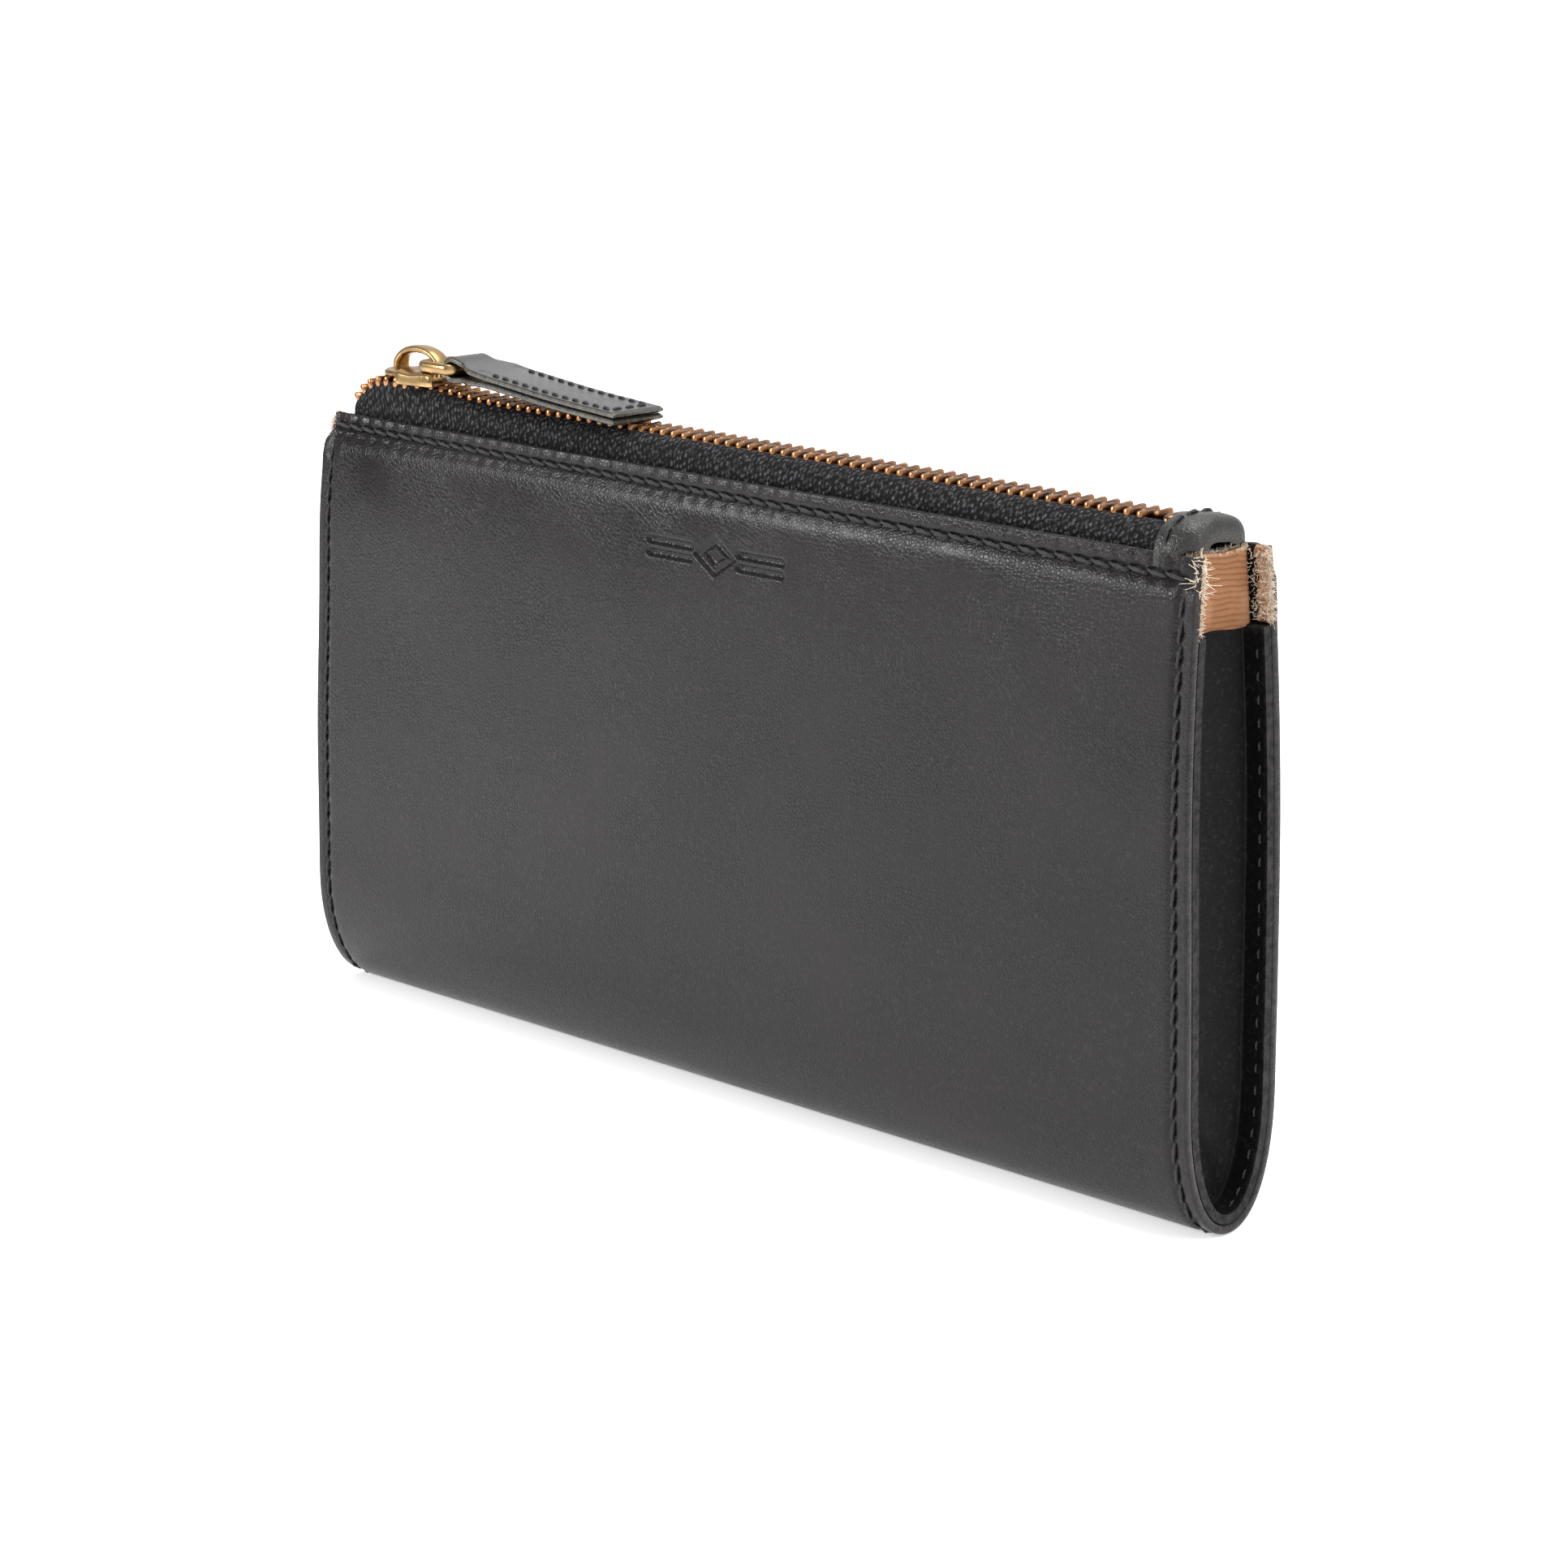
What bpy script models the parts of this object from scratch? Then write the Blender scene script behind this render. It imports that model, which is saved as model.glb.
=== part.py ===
"""Zip-top long leather wallet: soft panels, gussets, zip chain, slider and puller as separate solids.

Frame: metres, +Z up, origin under the middle of the foot, X along the wallet, front panel towards -Y.
"""

import math

import bmesh
import bpy
from mathutils import Matrix, Vector

# Overall size
LENGTH = 0.195
HEIGHT = 0.100
BELLY = 0.0106  # half thickness at the fullest height, at the ends
TOP_DROP = 0.0019  # how much thinner a side is at the top edge than at the belly
BELLY_Z = 0.055
BOW = 0.0012  # extra half thickness of the soft top edge half way along
PINCH = 0.0039  # how much thinner a side is at the left end of the top edge
PINCH_POWER = 8

# Rounded bottom, an ellipse cut flat by the foot
BASE_Z = 0.022
BASE_RISE = 0.024
BASE_STEPS = 7

# Layers of a wall, from the outside in
LEATHER = 0.0016
FILM = 0.0006  # board, tape and lining
GAP = 0.0003
INNER_LEATHER = 0.0007
LAYER_2 = LEATHER + GAP
LAYER_3 = LAYER_2 + FILM + GAP
LAYER_4 = LAYER_3 + FILM + GAP
INNER_END_X = 0.090  # where board and linings stop
LINING_TOP = 0.0985

# Fold at the front edge of the foot, where the front panel hinges
FOLD_Y = -0.0038
FOLD_Z = 0.0008
FOLD_GAP = 0.0005

# Gussets at both ends
GUSSET_WALL = 0.0014
GUSSET_WEB_X = 0.0912
GUSSET_TOP = 0.088
GUSSET_LINING_X = 0.0903

# Zip chain: its middle plane drops slightly from left to right
CHAIN_Z = 0.10348
CHAIN_SLOPE = -0.0082
TOOTH_PITCH = 0.00247
TOOTH_WIDTH = 0.00093
TOOTH_HALF_HEIGHT = 0.0011
TOOTH_TIP = 0.0007
BEAD_IN = 0.0010
BEAD_OUT = 0.0019
CHAIN_LEFT = -0.093
CHAIN_RIGHT = 0.0863
MESH_START = -0.072  # right of here both rows interlock
SPREAD = 0.0016
SPREAD_LEFT = -0.078
TURN_DOWN_X = -0.086
TURN_DOWN = 0.0016
END_SPREAD = 0.0006
TAPE_SHOULDER = 0.0049
TAPE_LOW = 0.0883
TAPE_RIGHT = 0.0886

# Slider
SLIDER_NOSE = -0.0850
SLIDER_SHOULDER = -0.0828
SLIDER_TAIL = -0.0712
SLIDER_WIDE = 0.0049
SLIDER_NARROW = 0.0041
SLIDER_INNER = 0.0015
PLATE = 0.0018
FLANGE = 0.0008
FLANGE_DROP = 0.0006
BOTTOM_HALF = 0.0034
POST_HALF = 0.0005

# Bridge over the slider, which holds the link
BRIDGE_LEFT = -0.0846
BRIDGE_RIGHT = -0.0719
BRIDGE_HEIGHT = 0.0040
BRIDGE_STRIP = 0.0013
BRIDGE_WIDTH = 0.0026

# Puller link and strap
LINK_AXIS_X = -0.0744
LINK_AXIS_Z = 0.1092
LINK_LENGTH = 0.0094
LINK_HALF_WIDTH = 0.0045
LINK_BAR = 0.0017
LINK_CHAMFER = 0.0005
STRAP_AXIS_X = LINK_AXIS_X - LINK_BAR / 2 + LINK_LENGTH - LINK_BAR / 2
STRAP_LENGTH = 0.0445
STRAP_WIDTH = 0.0105
STRAP_NECK = 0.0052
STRAP_SKIN = 0.0009
STRAP_GAP = 0.0003
STRAP_SLOPE = math.radians(4.2)
STRAP_YAW = math.radians(-2.9)

# End tab folded over the right end of the zip
TAB_LEFT = 0.0890
TAB_RIGHT = 0.0972
TAB_HALF_WIDTH = 0.0064
TAB_TOP = 0.1036
TAB_FOOT = 0.0990
TAB_SKIN = 0.0012

# Pockets and divider
POCKET_END_X = 0.086
POCKET_LOW = 0.024
CARD_TOPS = {
    "card_backing": 0.084,
    "card_pocket_top": 0.078,
    "card_pocket_middle": 0.067,
    "card_pocket_bottom": 0.056,
}
SLIP_TOP = 0.070
DIVIDER_Y = 0.0014
DIVIDER_LOW = 0.0040
DIVIDER_TOP = 0.082


def clear_scene():
    for thing in list(bpy.data.objects):
        bpy.data.objects.remove(thing, do_unlink=True)


def make_material(name, color, roughness, metallic=0.0):
    material = bpy.data.materials.new(name)
    material.use_nodes = True
    shader = material.node_tree.nodes["Principled BSDF"]
    shader.inputs["Base Color"].default_value = (*color, 1.0)
    shader.inputs["Roughness"].default_value = roughness
    shader.inputs["Metallic"].default_value = metallic
    return material


def make_materials():
    return {
        "hide": make_material("black_hide", (0.068, 0.064, 0.066), 0.42),
        "inner_leather": make_material("inner_leather", (0.050, 0.047, 0.048), 0.55),
        "twill": make_material("tan_twill", (0.42, 0.20, 0.09), 0.90),
        "board": make_material("stiffener_board", (0.32, 0.29, 0.25), 0.90),
        "tape": make_material("zip_tape", (0.018, 0.018, 0.020), 0.85),
        "teeth": make_material("copper_teeth", (0.55, 0.26, 0.11), 0.35, 1.0),
        "brass": make_material("aged_brass", (0.52, 0.36, 0.16), 0.35, 1.0),
    }


def half_thickness(x, z):
    """Distance from the middle plane to the outside of the hide."""
    along = x / (LENGTH / 2)
    if z < BASE_Z:
        wall = BELLY - TOP_DROP * ((BASE_Z - BELLY_Z) / (HEIGHT - BELLY_Z)) ** 2
        wall *= math.sqrt(1 - ((BASE_Z - z) / BASE_RISE) ** 2)
    else:
        wall = BELLY - TOP_DROP * ((z - BELLY_Z) / (HEIGHT - BELLY_Z)) ** 2
    height = z / HEIGHT
    bow = BOW * (1 - along ** 2) * height ** 2
    pinch = PINCH * (1 - along) / 2 * height ** PINCH_POWER
    return wall + bow - pinch


def wall_heights(low, high, steps=6):
    return [high + (low - high) * i / steps for i in range(steps + 1)]


def offset_point(x, z, depth):
    """The point this deep under the outside at height z, kept above the foot's own layer."""
    step = 0.0001
    top, bottom = min(z + step, HEIGHT), max(z - step, 0.0)
    normal = Vector((top - bottom, half_thickness(x, bottom) - half_thickness(x, top))).normalized()
    return half_thickness(x, z) - depth * normal.x, max(z - depth * normal.y, depth)


def height_where(x, depth, y):
    """Height on the rounded bottom whose point at this depth stands y out from the middle."""
    low, high = 0.0, BASE_Z
    for _ in range(40):
        middle = (low + high) / 2
        if offset_point(x, middle, depth)[0] < y:
            low = middle
        else:
            high = middle
    return high


def side_points(x, depth, top, low=0.0):
    """The wall at this depth under the outside, from the top edge down to the foot or to low."""
    heights = wall_heights(max(low, BASE_Z), top)
    if low < BASE_Z:
        steepest = math.asin((BASE_Z - low) / BASE_RISE)
        heights += [BASE_Z - BASE_RISE * math.sin(steepest * (i + 1) / BASE_STEPS) for i in range(BASE_STEPS)]
    return [offset_point(x, z, depth) for z in heights]


def stations(low, high, count):
    return [low + (high - low) * i / (count - 1) for i in range(count)]


def new_object(name, bm, material, origin=(0.0, 0.0, 0.0), smooth=True):
    bmesh.ops.recalc_face_normals(bm, faces=bm.faces)
    if bm.calc_volume(signed=True) < 0:
        bmesh.ops.reverse_faces(bm, faces=bm.faces)
    bmesh.ops.translate(bm, verts=bm.verts, vec=-Vector(origin))
    mesh = bpy.data.meshes.new(name)
    bm.to_mesh(mesh)
    bm.free()
    if smooth:
        mesh.shade_smooth()
        mesh.set_sharp_from_angle(angle=math.radians(35))
    mesh.materials.append(material)
    thing = bpy.data.objects.new(name, mesh)
    thing.location = origin
    bpy.context.collection.objects.link(thing)
    return thing


def loft(rings):
    """One closed body through rings of points, with a flat cap at each end."""
    bm = bmesh.new()
    made = [[bm.verts.new(point) for point in ring] for ring in rings]
    count = len(made[0])
    for first, second in zip(made, made[1:]):
        for i in range(count):
            j = (i + 1) % count
            bm.faces.new((first[i], first[j], second[j], second[i]))
    bm.faces.new(made[0])
    bm.faces.new(reversed(made[-1]))
    return bm


def loft_along_x(section, xs):
    return loft([[(x, y, z) for y, z in section(x)] for x in xs])


def wall_strip(side, depth, thickness, low, high, left, right, count=9):
    """A layer of a panel's wall; side is -1 at the front and 1 at the back."""

    def section(x):
        outer = side_points(x, depth, high, low)
        inner = side_points(x, depth + thickness, high, low)
        return [(side * y, z) for y, z in outer + inner[::-1]]

    return loft_along_x(section, stations(left, right, count))


def back_with_floor(depth, thickness, top, floor_y, left, right, count=9):
    """The back wall's layer, carried round the bottom and across the foot to floor_y."""

    def section(x):
        outer = side_points(x, depth, top)
        inner = side_points(x, depth + thickness, top)
        return outer + [(floor_y, depth), (floor_y, depth + thickness)] + inner[::-1]

    return loft_along_x(section, stations(left, right, count))


def front_section(x):
    """Front panel from the top edge round the bottom to its straight edge at the fold."""
    edge = FOLD_GAP / 2 - FOLD_Y
    outer = side_points(x, 0.0, HEIGHT, height_where(x, 0.0, edge))
    inner = side_points(x, LEATHER, HEIGHT, height_where(x, LEATHER, edge))
    return [(-y, z) for y, z in outer + inner[::-1]]


def make_shells(materials):
    half = LENGTH / 2
    back = back_with_floor(0.0, LEATHER, HEIGHT, FOLD_Y + FOLD_GAP / 2, -half, half)
    front = loft_along_x(front_section, stations(-half, half, 9))
    new_object("shell_back", back, materials["hide"])
    new_object("shell_front", front, materials["hide"], origin=(0.0, FOLD_Y, FOLD_Z))


def make_inner_layers(materials):
    fold = (0.0, FOLD_Y, FOLD_Z)
    end = INNER_END_X
    board_top = TAPE_LOW - 2 * GAP
    board_low = BASE_Z + 0.002
    lining_low = 0.0045
    back_board = wall_strip(1, LAYER_2, FILM, board_low, board_top, -end, end)
    front_board = wall_strip(-1, LAYER_2, FILM, board_low, board_top, -end, end)
    back_lining = back_with_floor(LAYER_3, FILM, LINING_TOP, -0.0008, -end, end)
    front_lining = wall_strip(-1, LAYER_3, FILM, lining_low, LINING_TOP, -end, end)
    new_object("board_back", back_board, materials["board"])
    new_object("board_front", front_board, materials["board"], origin=fold)
    new_object("lining_back", back_lining, materials["twill"])
    new_object("lining_front", front_lining, materials["twill"], origin=fold)


def end_outline(x, depth, top):
    """The whole inside outline of the wallet's end, both sides and the foot."""
    side = side_points(x, depth, top)
    return [(-y, z) for y, z in side] + side[::-1]


def block_along_x(outline, left, right):
    return loft([[(x, y, z) for y, z in outline] for x in (left, right)])


def make_cutter(name, bm):
    cutter = new_object(name, bm, None, smooth=False)
    cutter.hide_render = True
    cutter.display_type = "WIRE"
    return cutter


def add_boolean(thing, operation, other):
    modifier = thing.modifiers.new(other.name, "BOOLEAN")
    modifier.operation = operation
    modifier.object = other


def make_gusset(side, name, materials):
    """A channel of leather: a web across the end with flanges sewn flush to the panels' edges."""
    rim_x = side * LENGTH / 2
    web_x = side * GUSSET_WEB_X
    outside = end_outline(rim_x, LAYER_2, GUSSET_TOP)
    inside = end_outline(rim_x, LAYER_2 + GUSSET_WALL, GUSSET_TOP)
    lift = 0.002
    inside = [(inside[0][0], inside[0][1] + lift)] + inside + [(inside[-1][0], inside[-1][1] + lift)]
    gusset = new_object(name, block_along_x(outside, web_x, rim_x), materials["hide"])
    hollow_start = web_x + side * GUSSET_WALL
    hollow = make_cutter(name + "_hollow", block_along_x(inside, hollow_start, rim_x + side * lift))
    add_boolean(gusset, "DIFFERENCE", hollow)


def make_gusset_lining(side, name, materials):
    x = side * GUSSET_LINING_X
    outline = end_outline(x, LAYER_3, LINING_TOP - GAP)
    new_object(name, block_along_x(outline, x, x + side * FILM), materials["twill"])


def chain_z(x):
    """Height of the chain's middle plane, with the turned-down left end."""
    straight = CHAIN_Z + CHAIN_SLOPE * x
    if x < TURN_DOWN_X:
        straight -= TURN_DOWN * ((TURN_DOWN_X - x) / (TURN_DOWN_X - CHAIN_LEFT)) ** 2
    return straight


def row_spread(x):
    """How far a row of teeth stands away from the interlocked line."""
    opened = min(max((MESH_START - x) / (MESH_START - SPREAD_LEFT), 0.0), 1.0)
    closing = min(max((TURN_DOWN_X - x) / (TURN_DOWN_X - CHAIN_LEFT), 0.0), 1.0)
    return SPREAD * opened - (SPREAD - END_SPREAD) * closing


def make_teeth(side, name, start, origin, materials):
    """One row: a bead along the tape's edge with a tooth at every pitch, as one comb."""
    bm = bmesh.new()
    teeth = int((CHAIN_RIGHT - start) / TOOTH_PITCH)
    previous = None
    for i in range(teeth):
        left = start + i * TOOTH_PITCH
        right = left + TOOTH_WIDTH
        edges = [(left, BEAD_OUT), (left, BEAD_IN), (right, BEAD_IN), (right, BEAD_OUT)]
        rim_left, bead_left, bead_right, rim_right = [bm.verts.new((px, py, -TOOTH_HALF_HEIGHT)) for px, py in edges]
        tips = [bm.verts.new((px, -TOOTH_TIP, -TOOTH_HALF_HEIGHT)) for px in (left, right)]
        bm.faces.new((rim_left, bead_left, bead_right, rim_right))
        bm.faces.new((bead_left, tips[0], tips[1], bead_right))
        if previous:
            bm.faces.new((previous[0], previous[1], bead_left, rim_left))
        previous = (rim_right, bead_right)
    grown = bmesh.ops.extrude_face_region(bm, geom=list(bm.faces))
    lifted = [item for item in grown["geom"] if isinstance(item, bmesh.types.BMVert)]
    bmesh.ops.translate(bm, verts=lifted, vec=(0.0, 0.0, 2 * TOOTH_HALF_HEIGHT))
    for vert in bm.verts:
        px, py, pz = vert.co
        vert.co = (px, side * (py + row_spread(px)), chain_z(px) + pz)
    new_object(name, bm, materials["teeth"], origin=origin, smooth=False)


def make_tape(side, name, origin, materials):
    """Tape from the teeth over a shoulder and down behind the panel's top edge."""

    def section(x):
        z = chain_z(x)
        start = BEAD_OUT + GAP + row_spread(x)
        shoulder = max(TAPE_SHOULDER, start + 2 * FILM) if x > TURN_DOWN_X else start + FILM
        at_edge = half_thickness(x, HEIGHT) - LAYER_2
        at_low = half_thickness(x, TAPE_LOW) - LAYER_2
        half = FILM / 2
        outer = [(start, z + half), (shoulder, z + half), (at_edge, HEIGHT), (at_low, TAPE_LOW)]
        inner = [(start, z - half), (shoulder - FILM, z - half), (at_edge - FILM, HEIGHT), (at_low - FILM, TAPE_LOW)]
        return [(side * y, height) for y, height in outer + inner[::-1]]

    xs = stations(CHAIN_LEFT, TURN_DOWN_X, 4) + stations(SPREAD_LEFT, MESH_START, 3) + stations(-0.05, TAPE_RIGHT, 7)
    new_object(name, loft_along_x(section, xs), materials["tape"], origin=origin)


def make_bottom_stop(materials):
    """Clamp across both rows at the closed end of the chain."""
    left, right = CHAIN_RIGHT + GAP, TAB_LEFT - 2 * GAP
    half = TOOTH_HALF_HEIGHT
    outline = [(-BEAD_OUT, -half), (BEAD_OUT, -half), (BEAD_OUT, half), (-BEAD_OUT, half)]
    rings = [[(x, y, chain_z(x) + z) for y, z in outline] for x in (left, right)]
    new_object("bottom_stop", loft(rings), materials["teeth"], smooth=False)


def make_end_tab(materials):
    """Leather folded over the zip's end: an arch whose right end turns down."""
    steps = 12

    def section(x):
        past = max(0.0, (x - 0.093) / (TAB_RIGHT - 0.093))
        top = TAB_TOP - 0.0026 * (1 - math.sqrt(max(0.0, 1 - (0.98 * past) ** 2)))
        outer, inner = [], []
        for i in range(steps + 1):
            angle = math.pi * i / steps
            rise = math.sin(angle) ** 0.8
            outer.append((TAB_HALF_WIDTH * math.cos(angle), TAB_FOOT + (top - TAB_FOOT) * rise))
            inner_top = top - TAB_SKIN - TAB_FOOT
            inner.append(((TAB_HALF_WIDTH - TAB_SKIN) * math.cos(angle), TAB_FOOT + inner_top * rise))
        return outer + inner[::-1]

    xs = [TAB_LEFT, 0.091, 0.093, 0.0945, 0.0957, 0.0966, TAB_RIGHT]
    new_object("zip_end_tab", loft_along_x(section, xs), materials["hide"])


def slider_half_width(x):
    """Half width in plan: a nose, broad shoulders, then a taper to the tail."""
    if x < SLIDER_SHOULDER:
        return SLIDER_WIDE - 0.0026 * (SLIDER_SHOULDER - x) / (SLIDER_SHOULDER - SLIDER_NOSE)
    back = (x - SLIDER_SHOULDER) / (SLIDER_TAIL - SLIDER_SHOULDER)
    return SLIDER_WIDE + (SLIDER_NARROW - SLIDER_WIDE) * min(1.0, 1.6 * back)


def make_slider(origin, materials):
    """Top plate with side flanges and bottom plate, joined by the post that parts the rows."""
    step = 0.0001
    xs = [SLIDER_NOSE, SLIDER_SHOULDER - step, SLIDER_SHOULDER, -0.0800, -0.0760, SLIDER_TAIL]

    def top_section(x):
        wide = slider_half_width(x)
        z = CHAIN_Z + CHAIN_SLOPE * x + SLIDER_INNER
        crown = PLATE * 0.75
        drop = FLANGE_DROP if x >= SLIDER_SHOULDER else step
        rim = [(wide, z - drop), (wide, z + crown), (wide - 0.0008, z + PLATE)]
        under = [(wide - FLANGE, z), (wide - FLANGE, z - drop)]
        return rim + [(-y, h) for y, h in rim[::-1]] + [(-y, h) for y, h in under[::-1]] + under

    def bottom_section(x):
        z = CHAIN_Z + CHAIN_SLOPE * x - SLIDER_INNER
        wide = BOTTOM_HALF
        return [(wide, z), (-wide, z), (-wide + 0.0004, z - PLATE), (wide - 0.0004, z - PLATE)]

    body = new_object("slider_body", loft_along_x(top_section, xs), materials["brass"], origin=origin)
    bottom = make_cutter("slider_bottom", loft_along_x(bottom_section, [SLIDER_SHOULDER, SLIDER_TAIL]))
    post_z = CHAIN_Z + CHAIN_SLOPE * SLIDER_SHOULDER
    post_outline = [(-POST_HALF, -0.0019), (POST_HALF, -0.0019), (POST_HALF, 0.0019), (-POST_HALF, 0.0019)]
    rings = [[(x, y, post_z + z) for y, z in post_outline] for x in (-0.0823, -0.0800)]
    post = make_cutter("slider_post", loft(rings))
    add_boolean(body, "UNION", post)
    add_boolean(body, "UNION", bottom)
    return body


def band(path, widths, thickness):
    """A strip of this thickness laid along a path in the XZ plane, as wide in Y as each width says."""
    rings = []
    for i, point in enumerate(path):
        before = path[max(i - 1, 0)]
        after = path[min(i + 1, len(path) - 1)]
        run = Vector((after[0] - before[0], after[1] - before[1])).normalized()
        nx, nz = -run.y * thickness / 2, run.x * thickness / 2
        half = widths[i] / 2
        px, pz = point
        rings.append([
            (px + nx, -half, pz + nz),
            (px + nx, half, pz + nz),
            (px - nx, half, pz - nz),
            (px - nx, -half, pz - nz),
        ])
    return loft(rings)


def make_bridge(slider, materials):
    """Arch of flat strip from nose to tail of the top plate."""
    middle = (BRIDGE_LEFT + BRIDGE_RIGHT) / 2
    reach = (BRIDGE_RIGHT - BRIDGE_LEFT - BRIDGE_STRIP) / 2
    seat = CHAIN_Z + CHAIN_SLOPE * BRIDGE_LEFT + SLIDER_INNER + PLATE + 0.0001
    top = seat + BRIDGE_HEIGHT - BRIDGE_STRIP / 2
    corner = 0.0018
    path = [(middle - reach, seat)]
    for i in range(5):
        angle = math.pi - math.pi / 2 * i / 4
        path.append((middle - reach + corner + corner * math.cos(angle), top - corner + corner * math.sin(angle)))
    path += [(2 * middle - x, z) for x, z in path[::-1]]
    bridge = band(path, [BRIDGE_WIDTH] * len(path), BRIDGE_STRIP)
    thing = new_object("slider_bridge", bridge, materials["brass"], origin=slider.location)
    thing.parent = slider
    thing.matrix_parent_inverse = Matrix.Translation(-slider.location)
    return thing


def rounded_rectangle(left, right, half_width, radius, steps=3):
    points = []
    centres = [(right - radius, half_width - radius), (left + radius, half_width - radius),
               (left + radius, radius - half_width), (right - radius, radius - half_width)]
    for quarter, (cx, cy) in enumerate(centres):
        for i in range(steps + 1):
            angle = math.pi / 2 * (quarter + i / steps)
            points.append((cx + radius * math.cos(angle), cy + radius * math.sin(angle)))
    return points


def make_link(parent, materials):
    """Flat rectangular ring: one bar under the bridge, the other in the strap's fold."""
    left = LINK_AXIS_X - LINK_BAR / 2
    right = left + LINK_LENGTH
    half = LINK_BAR / 2
    near = LINK_CHAMFER
    far = LINK_BAR - LINK_CHAMFER
    flat = half - LINK_CHAMFER
    section = [(0.0, -flat), (0.0, flat), (near, half), (far, half),
               (LINK_BAR, flat), (LINK_BAR, -flat), (far, -half), (near, -half)]
    bm = bmesh.new()
    rings = []
    for inset, z in section:
        outline = rounded_rectangle(left + inset, right - inset, LINK_HALF_WIDTH - inset,
                                    max(0.0019 - inset, 0.0003))
        rings.append([bm.verts.new((x, y, LINK_AXIS_Z + z)) for x, y in outline])
    count = len(rings[0])
    for k, first in enumerate(rings):
        second = rings[(k + 1) % len(rings)]
        for i in range(count):
            j = (i + 1) % count
            bm.faces.new((first[i], first[j], second[j], second[i]))
    link = new_object("puller_link", bm, materials["brass"], origin=(LINK_AXIS_X, 0.0, LINK_AXIS_Z))
    link.parent = parent
    link.matrix_parent_inverse = Matrix.Translation(-parent.location)
    return link


def make_strap(link, materials):
    """Leather strip folded round the link's far bar, both layers running to a square end."""
    loop = LINK_BAR * 0.72 + STRAP_SKIN / 2 + GAP / 2
    layer = (STRAP_SKIN + STRAP_GAP) / 2
    neck_x, shoulder_x = 0.0040, 0.0066
    run = [STRAP_LENGTH, 0.030, 0.018, shoulder_x, neck_x]
    upper = [(x, layer) for x in run]
    lower = [(x, -layer) for x in run[::-1]]
    turn_start = math.radians(50)
    turns = 8
    around = []
    for i in range(turns + 1):
        angle = turn_start + (2 * math.pi - 2 * turn_start) * i / turns
        around.append((loop * math.cos(angle), loop * math.sin(angle)))
    path = upper + around + lower
    widths = [STRAP_WIDTH] * 4 + [STRAP_NECK] * (len(path) - 8) + [STRAP_WIDTH] * 4
    bm = band(path, widths, STRAP_SKIN)
    turn = Matrix.Rotation(STRAP_SLOPE, 4, "Y")
    for vert in bm.verts:
        sway = math.tan(STRAP_YAW) * max(vert.co.x - neck_x, 0.0)
        vert.co.y += sway
    bmesh.ops.transform(bm, matrix=turn, verts=bm.verts)
    origin = (STRAP_AXIS_X, 0.0, LINK_AXIS_Z)
    bmesh.ops.translate(bm, verts=bm.verts, vec=origin)
    strap = new_object("puller_strap", bm, materials["hide"], origin=origin)
    strap.parent = link
    strap.matrix_parent_inverse = Matrix.Translation(-link.location)
    return strap


def make_pockets(materials):
    leather = materials["inner_leather"]
    end = POCKET_END_X
    depth = LAYER_4
    for name, top in CARD_TOPS.items():
        new_object(name, wall_strip(1, depth, INNER_LEATHER, POCKET_LOW, top, -end, end), leather)
        depth += INNER_LEATHER + GAP
    slip = wall_strip(-1, LAYER_4, INNER_LEATHER, POCKET_LOW, SLIP_TOP, -end, end)
    new_object("slip_pocket_front", slip, leather, origin=(0.0, FOLD_Y, FOLD_Z))
    half = INNER_LEATHER / 2
    near, far = DIVIDER_Y - half, DIVIDER_Y + half
    outline = [(near, DIVIDER_LOW), (far, DIVIDER_LOW), (far, DIVIDER_TOP), (near, DIVIDER_TOP)]
    new_object("centre_divider", block_along_x(outline, -end, end), leather, smooth=False)


def main():
    clear_scene()
    materials = make_materials()
    make_shells(materials)
    make_inner_layers(materials)
    for side, end in ((-1, "left"), (1, "right")):
        make_gusset(side, "gusset_" + end, materials)
        make_gusset_lining(side, "gusset_lining_" + end, materials)
    fold = (0.0, FOLD_Y, FOLD_Z)
    middle = (0.0, 0.0, 0.0)
    make_teeth(-1, "zip_teeth_front", CHAIN_LEFT + GAP, fold, materials)
    make_teeth(1, "zip_teeth_back", CHAIN_LEFT + GAP + TOOTH_PITCH / 2, middle, materials)
    make_tape(-1, "zip_tape_front", fold, materials)
    make_tape(1, "zip_tape_back", middle, materials)
    make_bottom_stop(materials)
    make_end_tab(materials)
    slider = make_slider((SLIDER_NOSE, 0.0, CHAIN_Z + CHAIN_SLOPE * SLIDER_NOSE), materials)
    make_bridge(slider, materials)
    link = make_link(slider, materials)
    make_strap(link, materials)
    make_pockets(materials)


main()
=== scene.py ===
import math

import bmesh
import bpy
import numpy as np
from mathutils import Matrix, Vector


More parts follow.
